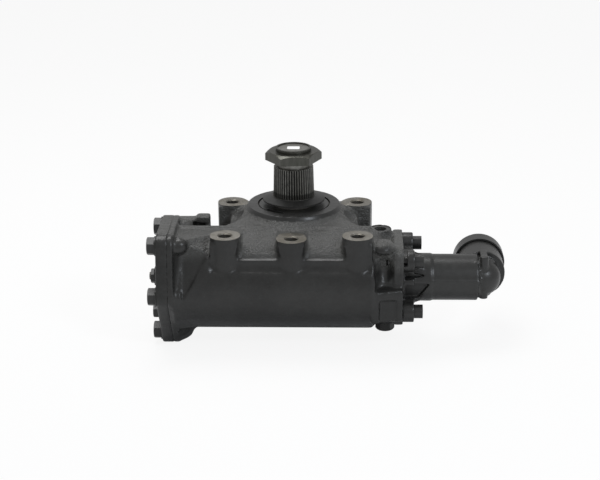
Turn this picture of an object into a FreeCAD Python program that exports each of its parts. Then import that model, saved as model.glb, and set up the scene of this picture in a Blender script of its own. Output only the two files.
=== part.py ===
# Steering gear: a hydraulic recirculating-ball gear box for a truck, with a right-angle bevel input drive.
# Units are millimetres. The frame's origin lies on the sector shaft's axis, at the large end of its
# serrated taper. +Z runs up along that shaft, and +X along the worm towards the bevel drive.
import FreeCAD, Part
import math
import os

V = FreeCAD.Vector
os.makedirs("parts", exist_ok=True)

# Main axes and planes
CENTRE_DISTANCE = 63.0        # sector shaft to worm, along Y
MOUNT_Z = -22.0               # plane of the five mounting bosses
WORM_DROP = 71.5              # mounting plane down to the worm's axis
HUB_RISE = 10.0               # hub face above the mounting plane
WORM_Y = -CENTRE_DISTANCE
WORM_Z = MOUNT_Z - WORM_DROP
HUB_Z = MOUNT_Z + HUB_RISE

# Clearances
SEAT = 0.1                    # pieces that are bolted or pushed together
RUN = 0.05                    # a shaft in its bearing or seal
FREE = 0.3                    # curved faces that move past each other

# Power cylinder
BORE_R = 52.0
CYLINDER_WALL = 15.5
CYLINDER_R = BORE_R + CYLINDER_WALL
FLANGE_X = -158.0             # joint between the housing and the end cover
FLANGE_T = 8.0
BORE_END_X = 100.0
BODY_END_X = 104.0

# Bosses that bolt to the frame of the truck
BOSS_PITCH = 85.0
BOSS_R = 20.0
FRONT_BOSS_Y = -104.5
REAR_BOSS_Y = 35.0
MOUNT_HOLE_R = 8.25
MOUNT_HOLE_DEPTH = 30.0
MIDDLE_BOSS_DROP = 4.0
HOLE_CHAMFER = 1.5

# Hub round the sector shaft
HUB_R = 62.0
HUB_RING_H = 4.5
HUB_BODY_R = 56.0
HUB_BORE_R = 48.5
CAVITY_R = 43.0

# Sector shaft
SHAFT_R = 28.0
LOWER_JOURNAL_R = 25.0
BEARING_T = 6.0
TAPER_R = 27.25
TAPER_LENGTH = 40.0
TAPER_SLOPE = 0.025           # radius lost for each millimetre of length
SERRATIONS = 48
SERRATION_DEPTH = 1.3
THREAD_R = 21.0
NECK_LENGTH = 8.6             # thread that shows between the taper and the nut
NUT_AF = 65.0
NUT_H = 12.7
NUT_COLLAR_R = 23.5
NUT_COLLAR_H = 4.4
NUT_TURN = 5.0                # degrees by which the nut stands turned
DUST_COVER_R = 41.3
DUST_COVER_Z = -4.4
DUST_COVER_T = 2.0
DUST_COVER_RISE = 3.8

# Sector teeth and rack
MODULE = 6.4
SECTOR_TEETH = 10             # teeth that a whole circle would have
TEETH_CUT = 5
PRESSURE_ANGLE = math.radians(27.5)
BACKLASH = 0.3
ROOT_CLEARANCE = 1.0
SECTOR_MARGIN = 1.3           # sector face beyond the rack's edge, each side

# Piston
PISTON_LEFT_X = -88.0
PISTON_RIGHT_X = 71.0
RACK_HALF = 55.0
RACK_RAMP = 9.0
PISTON_HOLE_R = 16.2
PISTON_HOLE_LEFT_X = -57.0
RING_W = 4.0
RING_DEPTH = 4.6

# Ball screw
BALL_RING_R = 15.5
BALL_R = 3.0
BALL_PITCH = 12.0
WORM_R = 14.7
WORM_LEFT_X = -31.0
GROOVE_START = 6.0
GROOVE_TURNS = 7.0
NUT_GROOVE_SKIP = 3           # whole turns from the worm's groove end to the nut's
NUT_GROOVE_TURNS = 1.5
BALL_COUNT = 16
GROOVE_DEPTH = 5.2
GROOVE_HALF = 5.0
GROOVE_LIP = 1.5

# Valve end of the worm
VALVE_BORE_R = 24.0
WORM_BEARING_W = 14.0
WORM_NECK_R = 15.0
ROTOR_R = 12.0
TORSION_R = 4.0
RIM_X = 144.0                 # joint between the housing and the bevel drive
RIM_T = 12.0
SLEEVE_END_X = 138.0
INPUT_SEAL_X = 140.0
INPUT_SEAL_W = 4.0
VALVE_GROOVES = 3
VALVE_GROOVE_W = 3.0

# Bevel drive
BEVEL_X = 249.0               # input shaft's axis
DRIVE_FLANGE_T = 14.0
SCREW_OFFSET = 35.0
LUG_R = 14.0
COLLAR_R = 31.5
COLLAR_END_X = 181.6
TUBE_R = 30.4
TUBE_BORE_R = 23.0
BARREL_R = 31.0
BARREL_BORE_R = 25.5
BEVEL_TEETH = 15
BEVEL_MODULE = 2.7
BEVEL_FACE = 9.0
BEVEL_BACKLASH = 1.2
BEVEL_TIP = 0.88              # tooth height over the pitch cone, in modules
INPUT_R = 12.0
INPUT_END_Y = 58.0
CAP_R = 34.0
CAP_DEPTH = 24.0
CAP_FACE_Y = 15.0
CAP_WALL = 2.2
BEVEL_PITCH_R = BEVEL_MODULE * BEVEL_TEETH / 2
ROTOR_END_X = BEVEL_X - BEVEL_PITCH_R + 2
GEAR_HUB_R = 15.0
GEAR_HUB_H = 10.0
GEAR_BORE_R = 9.0
DRIVE_BEARING_W = 12.0
DRIVE_BEARING_GAP = 12.75
DRIVE_BEARING_X = BEVEL_X - BEVEL_PITCH_R - GEAR_HUB_H + 2 - DRIVE_BEARING_GAP - DRIVE_BEARING_W

# Tube, mitred corner and barrel of the bevel drive
TUBE_END_X = 242.0
BARREL_START_Y = -50.0
MITRE_START = (241.9, -92.8)
MITRE_END = (277.8, -44.3)
ELBOW_R = 27.0
ROOM_R = 23.5
ROOM_WALL = 3.5
THROAT_R = 21.0
MITRE_REACH = 60.0
RECESS_DEPTH = 2.5
ROOM_DEPTH = 5.8
RIB_Z = WORM_Z + 4.0
RIB_T = 5.0
COLUMN_X = 250.0
COLUMN_Y = -77.0
COLUMN_R = 5.8
COLUMN_UP = 34.0
COLUMN_DOWN = 24.0
GUSSET_TIP_X = 179.0
GUSSET_TIP_Y = 12.0
GUSSET_Z = WORM_Z - 11.0
GUSSET_T = 6.0
BARREL_END_Y = 4.0
INPUT_BEARING_Y = -33.0
INPUT_BEARING_W = 14.0
INPUT_SEAL_Y = -6.0
SPLINE_R = 11.0
SPLINE_LENGTH = 26.0

# Covers and fasteners
COVER_T = 14.5
COVER_BOSS_R = 13.0
COVER_BOSS_H = 10.5
SIDE_JOINT_Z = -154.0
SIDE_COVER_T = 10.0
SIDE_COVER_R = 47.0
SIDE_BOLT_RING = 39.5
SIDE_BOLT_COUNT = 6
SIDE_BOLT_DEPTH = 13.0
M10_R = 5.0
M10_HEX_AF = 16.0
M10_HEAD_H = 6.4
M12_R = 6.0
M14_R = 7.0
M14_HEX_AF = 21.0
M14_HEAD_H = 9.8
COVER_BOLT_DEPTH = 20.0
COVER_PLUG_R = 6.0
COVER_PLUG_AF = 17.0
COVER_PLUG_H = 7.0
COVER_PLUG_Y = -35.0
COVER_PLUG_Z = -35.0
M12_CAP_R = 9.0
M12_CAP_H = 12.0
WASHER_R = 13.0
WASHER_T = 2.0
LIMITER_R = 5.0
LIMITER_TIP_X = -189.5
LIMITER_INNER_X = -128.0
LIMITER_NUT_H = 4.5
ADJUSTER_R = 8.0
ADJUSTER_HEAD_R = 13.0
ADJUSTER_HEAD_H = 6.0
ADJUSTER_POCKET_H = 8.0
SIDE_BOSS_R = 20.0
SIDE_BOSS_H = 9.0
ADJUSTER_NUT_AF = 24.0
ADJUSTER_NUT_H = 6.0
ADJUSTER_TIP = 2.0
SPIGOT_H = 3.0

# Castings: outside forms of the main housing
PORT_X = 115.0
PORT_Y = WORM_Y + 23.0
PORT_TOP_Z = WORM_Z + 58.5
PORT_BOSS_R = 15.0
PORT_HOLE_R = 8.25
PORT_DEPTH = 16.0
PORT_PASSAGE_R = 5.0
REAR_PORT_Y = WORM_Y + 62.0
PLUG_X = 122.0
PLUG_BOSS_Z = WORM_Z - 63.5
PLUG_AF = 22.0
PLUG_H = 10.0
NECK_R = 47.0
DECK_Z = MOUNT_Z - 4.5
DECK_FRONT_Y = -119.0
DECK_END_X = 104.0
STEP_Z = MOUNT_Z - 44.5
POCKET_Z = MOUNT_Z - 28.0
POCKET_BACK_Y = -89.0
POCKET_TUCK = 7.0
POCKET_DRAFT = 6.0
POCKET_SLOPE = 14.0
TOP_FLAT_R = 63.5
TOP_FLAT_TURN = 22.0
PILLAR_FOOT_Z = MOUNT_Z - 70.0
WEB_START_X = 40.0
SHELF_Z = MOUNT_Z - 42.0
LUG_X = -111.0
RIM_REACH_Y = 35.0
RIM_REACH_Z = 39.0
SCOOP_X = 121.0
SCOOP_Y = -121.0
SCOOP_R = 13.0
SCOOP_FRONT_Y = -119.0
BUMP_R = 11.0
BUMP_END_X = -143.0


def rod_x(radius, x0, x1, y=WORM_Y, z=WORM_Z):
    return Part.makeCylinder(radius, x1 - x0, V(x0, y, z), V(1, 0, 0))


def rod_y(radius, y0, y1, x=BEVEL_X, z=WORM_Z):
    return Part.makeCylinder(radius, y1 - y0, V(x, y0, z), V(0, 1, 0))


def rod_z(radius, z0, z1, x=0.0, y=0.0):
    return Part.makeCylinder(radius, z1 - z0, V(x, y, z0), V(0, 0, 1))


def tube_x(outer, inner, x0, x1, y=WORM_Y, z=WORM_Z):
    return rod_x(outer, x0, x1, y, z).cut(rod_x(inner, x0, x1, y, z))


def tube_y(outer, inner, y0, y1, x=BEVEL_X, z=WORM_Z):
    return rod_y(outer, y0, y1, x, z).cut(rod_y(inner, y0, y1, x, z))


def tube_z(outer, inner, z0, z1, x=0.0, y=0.0):
    return rod_z(outer, z0, z1, x, y).cut(rod_z(inner, z0, z1, x, y))


def block(x0, x1, y0, y1, z0, z1):
    return Part.makeBox(x1 - x0, y1 - y0, z1 - z0, V(x0, y0, z0))


def fuse_all(shapes):
    """Join solids one by one, and merge faces that lie in one surface where that stays sound."""
    joined = shapes[0]
    for shape in shapes[1:]:
        joined = joined.fuse(shape)
        merged = joined.removeSplitter()
        if merged.isValid():
            joined = merged
    return joined


def cut_all(shape, tools):
    return shape.cut(Part.makeCompound(tools))


def solid_of(faces):
    """Sew flat faces into one closed solid."""
    shell = Part.makeShell(faces)
    shell.sewShape()
    solid = Part.Solid(shell)
    return solid.reversed() if solid.Volume < 0 else solid


def save(name, shape):
    """Write one sub-part and print its number of solids and its volume."""
    solids = shape.Solids
    shape = solids[0] if len(solids) == 1 else Part.makeCompound(solids)
    shape.exportStep("parts/" + name + ".step")
    print(name, len(solids), round(shape.Volume), shape.isValid())


def lobed_face(discs, x):
    """A closed outline round a ring of discs (y, z, radius), anticlockwise, joined by tangent lines."""
    count = len(discs)
    normals = []
    for i in range(count):
        y0, z0, r0 = discs[i]
        y1, z1, r1 = discs[(i + 1) % count]
        length = math.hypot(y1 - y0, z1 - z0)
        normals.append(math.atan2(z1 - z0, y1 - y0) - math.pi / 2 + math.asin((r0 - r1) / length))
    edges = []
    for i in range(count):
        y0, z0, r0 = discs[i]
        y1, z1, r1 = discs[(i + 1) % count]
        before = normals[i - 1]
        after = normals[i]
        if after < before:
            after += 2 * math.pi
        middle = (before + after) / 2
        arc = [V(x, y0 + r0 * math.cos(a), z0 + r0 * math.sin(a)) for a in (before, middle, after)]
        edges.append(Part.Arc(*arc).toShape())
        edges.append(Part.makeLine(arc[2], V(x, y1 + r1 * math.cos(after), z1 + r1 * math.sin(after))))
    return Part.Face(Part.Wire(edges))


def prism_x(points, x0, x1):
    """Extrude a closed outline of (y, z) points from x0 to x1."""
    wire = Part.makePolygon([V(x0, y, z) for y, z in points + points[:1]])
    return Part.Face(wire).extrude(V(x1 - x0, 0, 0))


def prism_z(points, z0, z1):
    wire = Part.makePolygon([V(x, y, z0) for x, y in points + points[:1]])
    return Part.Face(wire).extrude(V(0, 0, z1 - z0))


def turned(points, base, axis, across):
    """Turn an outline of (radius, height) points round an axis."""
    wire = Part.makePolygon([base + across * r + axis * h for r, h in points + points[:1]])
    return Part.Face(wire).revolve(base, axis, 360)


def hexagon(af, height, base, axis, turn=0.0, chamfer=True):
    """A hexagonal head or nut with its outer corners turned off."""
    corner = af / math.sqrt(3)
    points = []
    for i in range(7):
        angle = math.radians(60 * i + turn)
        points.append(V(corner * math.cos(angle), corner * math.sin(angle), 0))
    shape = Part.Face(Part.makePolygon(points)).extrude(V(0, 0, height))
    if chamfer:
        slope = (corner - af / 2) * 0.7
        edge = height - slope - 0.6
        outline = [(0, 0), (corner + 1, 0), (corner + 1, edge), (af / 2 * 0.98, height), (0, height)]
        top = turned(outline, V(0, 0, 0), V(0, 0, 1), V(1, 0, 0))
        shape = shape.common(top)
    shape.Placement = FreeCAD.Placement(base, FreeCAD.Rotation(V(0, 0, 1), axis))
    return shape


def chamfered_hole(radius, x, y, top, depth):
    """The hole for a bolt from above, with its mouth opened."""
    mouth = Part.makeCone(radius, radius + HOLE_CHAMFER, HOLE_CHAMFER, V(x, y, top - HOLE_CHAMFER))
    tip = Part.makeCone(1.0, radius, radius / 2, V(x, y, top - depth - radius / 2))
    return rod_z(radius, top - depth, top, x, y).fuse([mouth, tip])


# Derived places along the gear train
PITCH_R = MODULE * SECTOR_TEETH / 2
RACK_PITCH_Y = WORM_Y + CENTRE_DISTANCE - PITCH_R
RACK_TIP_Y = RACK_PITCH_Y + MODULE
SECTOR_TIP_R = PITCH_R + MODULE
SECTOR_ROOT_R = PITCH_R - MODULE - ROOT_CLEARANCE
RACK_ROOT_Y = -SECTOR_TIP_R - ROOT_CLEARANCE
PISTON_R = BORE_R - FREE
TOOTH_PITCH = math.pi * MODULE
RACK_HALF_WIDTH = math.sqrt(PISTON_R ** 2 - (RACK_TIP_Y - WORM_Y) ** 2)
SECTOR_HALF = RACK_HALF_WIDTH + SECTOR_MARGIN
SECTOR_TOP_Z = WORM_Z + SECTOR_HALF
SECTOR_BOTTOM_Z = WORM_Z - SECTOR_HALF
THRUST_GAP = 2.0
CAVITY_FLOOR_Z = SECTOR_BOTTOM_Z - THRUST_GAP
LOWER_BEARING_TOP_Z = WORM_Z - math.sqrt(BORE_R ** 2 - (LOWER_JOURNAL_R + BEARING_T + WORM_Y) ** 2) - 3.0
CARRIER_Z = WORM_Z + math.sqrt(BORE_R ** 2 - (CAVITY_R + WORM_Y) ** 2) + 2.0
UPPER_BEARING_Z = CARRIER_Z - 4.0
SEAL_H = 7.0
RETAINER_T = 2.0
RETAINER_DROP = 3.0
RETAINER_BITE = 1.8
RETAINER_WIDTH = 1.9
RETAINER_TURN = -35.0
EAR_X = 9.0
EAR_R = 4.0
EAR_HOLE_R = 1.2
SEAL_PLATE_DROP = 0.7
RETAINER_Z = HUB_Z - RETAINER_DROP - RETAINER_T
SEAL_Z = RETAINER_Z - SEAL_H
SHAFT_FOOT_Z = SIDE_JOINT_Z + 1.0
VALVE_START_X = BORE_END_X + WORM_BEARING_W
FRONT_POINTS = [(x, FRONT_BOSS_Y) for x in (-BOSS_PITCH, 0, BOSS_PITCH)]
MOUNT_POINTS = FRONT_POINTS + [(x, REAR_BOSS_Y) for x in (-BOSS_PITCH, BOSS_PITCH)]

# Lobes of the left flange as (dy, dz, radius) from the worm's axis, and the bolt in each
FLANGE_LOBES = [(-64.0, -4.5, 14.0), (-16.0, -70.0, 16.5), (46.0, -48.0, 15.0),
                (62.0, 8.0, 14.0), (27.0, 60.0, 15.0), (-52.0, 60.5, 16.0)]


def left_flange(x0, x1):
    discs = [(WORM_Y + dy, WORM_Z + dz, r) for dy, dz, r in FLANGE_LOBES]
    return lobed_face(discs, x0).extrude(V(x1 - x0, 0, 0))


def flange_bolt_points():
    return [(WORM_Y + dy, WORM_Z + dz) for dy, dz, r in FLANGE_LOBES]


def rim_screw_points():
    signs = [(-1, -1), (-1, 1), (1, 1), (1, -1)]
    return [(WORM_Y + a * SCREW_OFFSET, WORM_Z + b * SCREW_OFFSET) for a, b in signs]


def rim_discs(reach_y, reach_z, radius):
    signs = [(-1, -1), (1, -1), (1, 1), (-1, 1)]
    return [(WORM_Y + a * reach_y, WORM_Z + b * reach_z, radius) for a, b in signs]


def side_bolt_points():
    step = 360.0 / SIDE_BOLT_COUNT
    angles = [math.radians(step * i) for i in range(SIDE_BOLT_COUNT)]
    return [(SIDE_BOLT_RING * math.cos(a), SIDE_BOLT_RING * math.sin(a)) for a in angles]


def hub_form():
    """The turned middle of the casting: bottom boss, body, then a concave skirt up to the hub's ring."""
    foot = [(0, SIDE_JOINT_Z), (SIDE_COVER_R, SIDE_JOINT_Z), (HUB_BODY_R, SIDE_JOINT_Z + 14),
            (HUB_BODY_R, WORM_Z + 20)]
    skirt = [(HUB_R + 14, HUB_Z - 36), (HUB_R + 14, HUB_Z - 15), (HUB_R + 8, HUB_Z - 11.5),
             (HUB_R + 3, HUB_Z - 8)]
    ring = [(HUB_R, HUB_Z - HUB_RING_H), (HUB_R, HUB_Z - 1), (HUB_R - 1, HUB_Z), (0, HUB_Z)]
    return turned(foot + skirt + ring, V(0, 0, 0), V(0, 0, 1), V(1, 0, 0))


def deck_form():
    """The top deck under the bosses, with a stepped front wall and a pocket between each pair of bosses."""
    outline = [(DECK_FRONT_Y, STEP_Z), (DECK_FRONT_Y, DECK_Z - 3), (DECK_FRONT_Y + 3, DECK_Z),
               (WORM_Y, DECK_Z), (WORM_Y, WORM_Z)]
    deck = prism_x(outline, -DECK_END_X, DECK_END_X)
    pockets = []
    for side in (-1, 1):
        middle = side * BOSS_PITCH / 2
        low = BOSS_PITCH / 2 - BOSS_R + POCKET_TUCK
        floor = (low, POCKET_BACK_Y, POCKET_Z)
        mouth = (low - POCKET_DRAFT, POCKET_BACK_Y + POCKET_SLOPE, DECK_Z + 1)
        front = DECK_FRONT_Y - 1
        wires = []
        for half, back, z in (floor, mouth):
            left = middle - half
            right = middle + half
            points = [(left, front), (right, front), (right, back), (left, back)]
            wires.append(Part.makePolygon([V(x, y, z) for x, y in points + points[:1]]))
        pockets.append(Part.makeLoft(wires, True, True))
    return cut_all(deck, pockets)


def body_form():
    """Power cylinder, cut back in a step above the front wall."""
    body = rod_x(CYLINDER_R, FLANGE_X + 2, BODY_END_X)
    flat = block(FLANGE_X - 1, BODY_END_X + 1, -60, 60, TOP_FLAT_R, CYLINDER_R + 20)
    flat.rotate(V(0, 0, 0), V(1, 0, 0), -TOP_FLAT_TURN)
    flat.translate(V(0, WORM_Y, WORM_Z))
    step = block(-DECK_END_X, DECK_END_X, DECK_FRONT_Y - 20, DECK_FRONT_Y, STEP_Z, WORM_Z + CYLINDER_R)
    return body.cut(flat).cut(step)


def rear_form():
    """Pillars of the two rear bosses, with the broad webs that tie them to the hub and the cylinder."""
    pieces = []
    for side in (-1, 1):
        x = side * BOSS_PITCH
        pieces.append(rod_z(BOSS_R, PILLAR_FOOT_Z, MOUNT_Z, x, REAR_BOSS_Y))
        top = MOUNT_Z - 1.5
        profile = [(REAR_BOSS_Y - 18, top), (REAR_BOSS_Y + 9, top), (REAR_BOSS_Y + 12, PILLAR_FOOT_Z + 12),
                   (REAR_BOSS_Y, PILLAR_FOOT_Z - 2), (-30, PILLAR_FOOT_Z - 12), (-30, SHELF_Z),
                   (REAR_BOSS_Y - 24, SHELF_Z)]
        ends = sorted([side * WEB_START_X, x + side * (BOSS_R - 2)])
        pieces.append(prism_x(profile, ends[0], ends[1]))
    return pieces


def boss_face_z(x, y):
    """The middle front boss is faced a little lower than the four others."""
    return MOUNT_Z - MIDDLE_BOSS_DROP if (x, y) == (0, FRONT_BOSS_Y) else MOUNT_Z


def front_bosses():
    return [rod_z(BOSS_R, STEP_Z, MOUNT_Z, x, FRONT_BOSS_Y) for x in (-BOSS_PITCH, 0, BOSS_PITCH)]


def lifting_lug():
    """A cast lug on a thin rail beside the left flange, over a hollow with a wall behind it."""
    y0 = WORM_Y + 34
    y1 = WORM_Y + 52
    rail = block(FLANGE_X + 2, LUG_X, y0, y1, MOUNT_Z - 8.5, MOUNT_Z - 4.5)
    lug = block(LUG_X - 18, LUG_X, y0, y1, MOUNT_Z - 9, MOUNT_Z - 0.5)
    post = block(LUG_X - 6, LUG_X, y0 + 1, y1 - 1, SHELF_Z, MOUNT_Z - 5)
    wall = block(FLANGE_X + 2, LUG_X - 1, y1 - 6, y1 - 0.5, SHELF_Z, MOUNT_Z - 6)
    return [rail, lug, post, wall]


def swelling(*outlines):
    """Casting through outlines that are each (x, points), with flat faces between them."""
    wires = []
    for x, points in outlines:
        wires.append(Part.makePolygon([V(x, y, z) for y, z in points + points[:1]]))
    return Part.makeLoft(wires, True, True)


def flare_forms():
    """Casting that swells from the body to the lobed flange."""
    x0 = FLANGE_X + FLANGE_T - 2
    deck = swelling(
        (x0, [(-114, DECK_Z), (-60, DECK_Z + 0.5), (-26, -40), (-26, -90), (-121, -90), (-121, -50)]),
        (-DECK_END_X + 2.3, [(-108, DECK_Z - 1), (-63, DECK_Z), (-34, -42), (-34, -90), (-119, -90),
                             (-117, -48)]))
    front = swelling(
        (x0, [(-124, -54), (-137, -78), (-140, -100), (-133, -118),
              (-122, -134), (-104, -154), (-80, -156), (-80, -54)]),
        (-112, [(-119, -54), (-127.5, -78), (-130.2, -100), (-127, -114),
                (-118, -131), (-104, -145), (-80, -150), (-80, -54)]))
    foot = swelling((x0, [(-98, -120), (-96, -168), (-88, -178), (-70, -180), (-58, -170), (-46, -120)]),
                    (-139.5, [(-97, -120), (-94, -163), (-86, -173), (-71, -175), (-58, -166), (-46, -120)]),
                    (-131, [(-95, -120), (-92, -153), (-85, -162), (-70, -165), (-56, -158), (-46, -120)]),
                    (-123.5, [(-88, -120), (-88, -146), (-80, -154), (-66, -158), (-52, -150), (-44, -120)]))
    return [deck, front, foot]


def scoop_tool():
    """The slanting hollow between the flange and the first front boss."""
    def place(x, z):
        return V(x, SCOOP_FRONT_Y - 0.1509 * (x + DECK_END_X) + 0.2058 * (z - MOUNT_Z + 33), z)
    x0 = FLANGE_X + FLANGE_T
    end_x = -DECK_END_X + 1
    outline = [(x0, MOUNT_Z - 83), (-143, MOUNT_Z - 77), (end_x, MOUNT_Z - 12), (end_x, MOUNT_Z + 5),
               (x0, MOUNT_Z + 5)]
    corners = [place(x, z) for x, z in outline]
    return Part.Face(Part.makePolygon(corners + corners[:1])).extrude(V(0, -60, 0))


def bolt_bumps():
    """Rounded stock behind the flange round each bolt of the end cover."""
    bumps = []
    for y, z in flange_bolt_points():
        end = Part.makeSphere(BUMP_R, V(BUMP_END_X, y, z))
        bumps.append(rod_x(BUMP_R, FLANGE_X + 2, BUMP_END_X, y, z).fuse(end))
    return bumps


def right_neck():
    """Box-like end of the casting with its scoops, square rim, ports and plug boss."""
    cone = Part.makeCone(CYLINDER_R, NECK_R, 20, V(BODY_END_X, WORM_Y, WORM_Z), V(1, 0, 0))
    neck_face = lobed_face(rim_discs(RIM_REACH_Y - 3, RIM_REACH_Z - 3, LUG_R), BODY_END_X - 20)
    neck = neck_face.extrude(V(RIM_X - BODY_END_X + 19, 0, 0))
    rim = lobed_face(rim_discs(RIM_REACH_Y, RIM_REACH_Z, LUG_R), RIM_X - RIM_T).extrude(V(RIM_T, 0, 0))
    port = rod_z(PORT_BOSS_R, WORM_Z, PORT_TOP_Z, PORT_X, PORT_Y)
    rear_port = rod_y(PORT_BOSS_R, WORM_Y, REAR_PORT_Y, PORT_X, WORM_Z)
    plug = rod_z(14, PLUG_BOSS_Z, WORM_Z, PLUG_X, WORM_Y)
    scoop = rod_z(SCOOP_R, WORM_Z, WORM_Z + 80, SCOOP_X, SCOOP_Y)
    scoop = scoop.fuse(Part.makeSphere(SCOOP_R, V(SCOOP_X, SCOOP_Y, WORM_Z)))
    dish = block(RIM_X - RIM_T - 18, RIM_X - RIM_T, WORM_Y - 70, WORM_Y - 42, WORM_Z - 54, WORM_Z - 20)
    return fuse_all([cut_all(fuse_all([cone, neck]), [scoop, dish]), rim, port, rear_port, plug])


def housing_tools():
    """The bores, holes and faces machined into the main casting."""
    inside = [rod_x(BORE_R, FLANGE_X, BORE_END_X), rod_x(VALVE_BORE_R, BORE_END_X, RIM_X),
              rod_z(CAVITY_R, CAVITY_FLOOR_Z, CARRIER_Z), rod_z(HUB_BORE_R, CARRIER_Z, HUB_Z),
              rod_z(LOWER_JOURNAL_R + BEARING_T, SIDE_JOINT_Z, LOWER_BEARING_TOP_Z),
              rod_z(LOWER_JOURNAL_R + 1, LOWER_BEARING_TOP_Z, CAVITY_FLOOR_Z),
              rod_z(HUB_BORE_R + RETAINER_BITE, RETAINER_Z, RETAINER_Z + RETAINER_T)]
    for x, y in MOUNT_POINTS:
        face = boss_face_z(x, y)
        inside.append(chamfered_hole(MOUNT_HOLE_R, x, y, face, face - MOUNT_Z + MOUNT_HOLE_DEPTH))
    inside += [rod_x(M14_R, FLANGE_X, FLANGE_X + COVER_BOLT_DEPTH + 2, y, z) for y, z in flange_bolt_points()]
    inside += [rod_x(M12_R, RIM_X - 22, RIM_X, y, z) for y, z in rim_screw_points()]
    inside += [rod_z(M10_R, SIDE_JOINT_Z, SIDE_JOINT_Z + SIDE_BOLT_DEPTH, x, y) for x, y in side_bolt_points()]
    inside += [rod_z(PORT_HOLE_R, PORT_TOP_Z - PORT_DEPTH, PORT_TOP_Z, PORT_X, PORT_Y),
               rod_z(PORT_PASSAGE_R, WORM_Z, PORT_TOP_Z, PORT_X, PORT_Y),
               rod_y(PORT_HOLE_R, REAR_PORT_Y - PORT_DEPTH, REAR_PORT_Y, PORT_X, WORM_Z),
               rod_y(PORT_PASSAGE_R, WORM_Y, REAR_PORT_Y, PORT_X, WORM_Z),
               rod_z(M12_R + 1, PLUG_BOSS_Z, WORM_Z, PLUG_X, WORM_Y),
               rod_z(PORT_BOSS_R - 1, PORT_TOP_Z, PORT_TOP_Z + 20, PORT_X, PORT_Y),
               rod_y(PORT_BOSS_R - 1, REAR_PORT_Y, REAR_PORT_Y + 20, PORT_X, WORM_Z),
               rod_z(BOSS_R + 4, MOUNT_Z - MIDDLE_BOSS_DROP, MOUNT_Z + 8, 0, FRONT_BOSS_Y),
               rod_z(SIDE_COVER_R + 2, SIDE_JOINT_Z - 20, SIDE_JOINT_Z)]
    return inside


def main_housing():
    left = fuse_all([body_form()] + flare_forms()).cut(scoop_tool())
    outside = [left, left_flange(FLANGE_X, FLANGE_X + FLANGE_T)] + bolt_bumps() + [deck_form(), hub_form()]
    outside += rear_form() + front_bosses() + lifting_lug() + [right_neck()]
    return cut_all(fuse_all(outside), housing_tools())


def end_cover():
    plate = left_flange(FLANGE_X - COVER_T, FLANGE_X)
    spigot = tube_x(BORE_R - SEAT, BORE_R - 8, FLANGE_X, FLANGE_X + 14)
    boss = rod_x(COVER_BOSS_R, FLANGE_X - COVER_T - COVER_BOSS_H, FLANGE_X - COVER_T)
    groove = tube_x(BORE_R, BORE_R - 3.5, FLANGE_X + 5, FLANGE_X + 9)
    tools = [groove, rod_x(LIMITER_R, FLANGE_X - 60, FLANGE_X + 2)]
    tools += [rod_x(M14_R + 0.5, FLANGE_X - COVER_T, FLANGE_X, y, z) for y, z in flange_bolt_points()]
    y = WORM_Y + COVER_PLUG_Y
    z = WORM_Z + COVER_PLUG_Z
    tools.append(rod_x(COVER_PLUG_R, FLANGE_X - COVER_T, FLANGE_X - 2, y, z))
    return cut_all(fuse_all([plate, spigot, boss]), tools)


def end_pieces():
    save("end_cover", end_cover())
    save("end_cover_seal", tube_x(BORE_R, BORE_R - 3.5, FLANGE_X + 5, FLANGE_X + 9))
    face = FLANGE_X - COVER_T
    bolts = []
    for y, z in flange_bolt_points():
        head = hexagon(M14_HEX_AF, M14_HEAD_H, V(face - WASHER_T, y, z), V(-1, 0, 0))
        washer = rod_x(WASHER_R, face - WASHER_T, face, y, z)
        shank = rod_x(M14_R, face - 1, FLANGE_X + COVER_BOLT_DEPTH, y, z)
        bolts.append(fuse_all([head, washer, shank]))
    save("end_cover_bolts", Part.makeCompound(bolts))
    boss_face = face - COVER_BOSS_H
    screw = rod_x(LIMITER_R, LIMITER_TIP_X, LIMITER_INNER_X)
    save("limiter_screw", screw)
    nut = hexagon(18.0, LIMITER_NUT_H, V(boss_face, WORM_Y, WORM_Z), V(-1, 0, 0))
    save("limiter_lock_nut", nut.cut(screw))
    y = WORM_Y + COVER_PLUG_Y
    z = WORM_Z + COVER_PLUG_Z
    head = hexagon(COVER_PLUG_AF, COVER_PLUG_H, V(face - WASHER_T, y, z), V(-1, 0, 0))
    collar = rod_x(COVER_PLUG_AF / 2 + 1, face - WASHER_T, face, y, z)
    save("end_cover_plug", fuse_all([head, collar, rod_x(COVER_PLUG_R, face - 1, FLANGE_X - 4, y, z)]))


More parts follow.
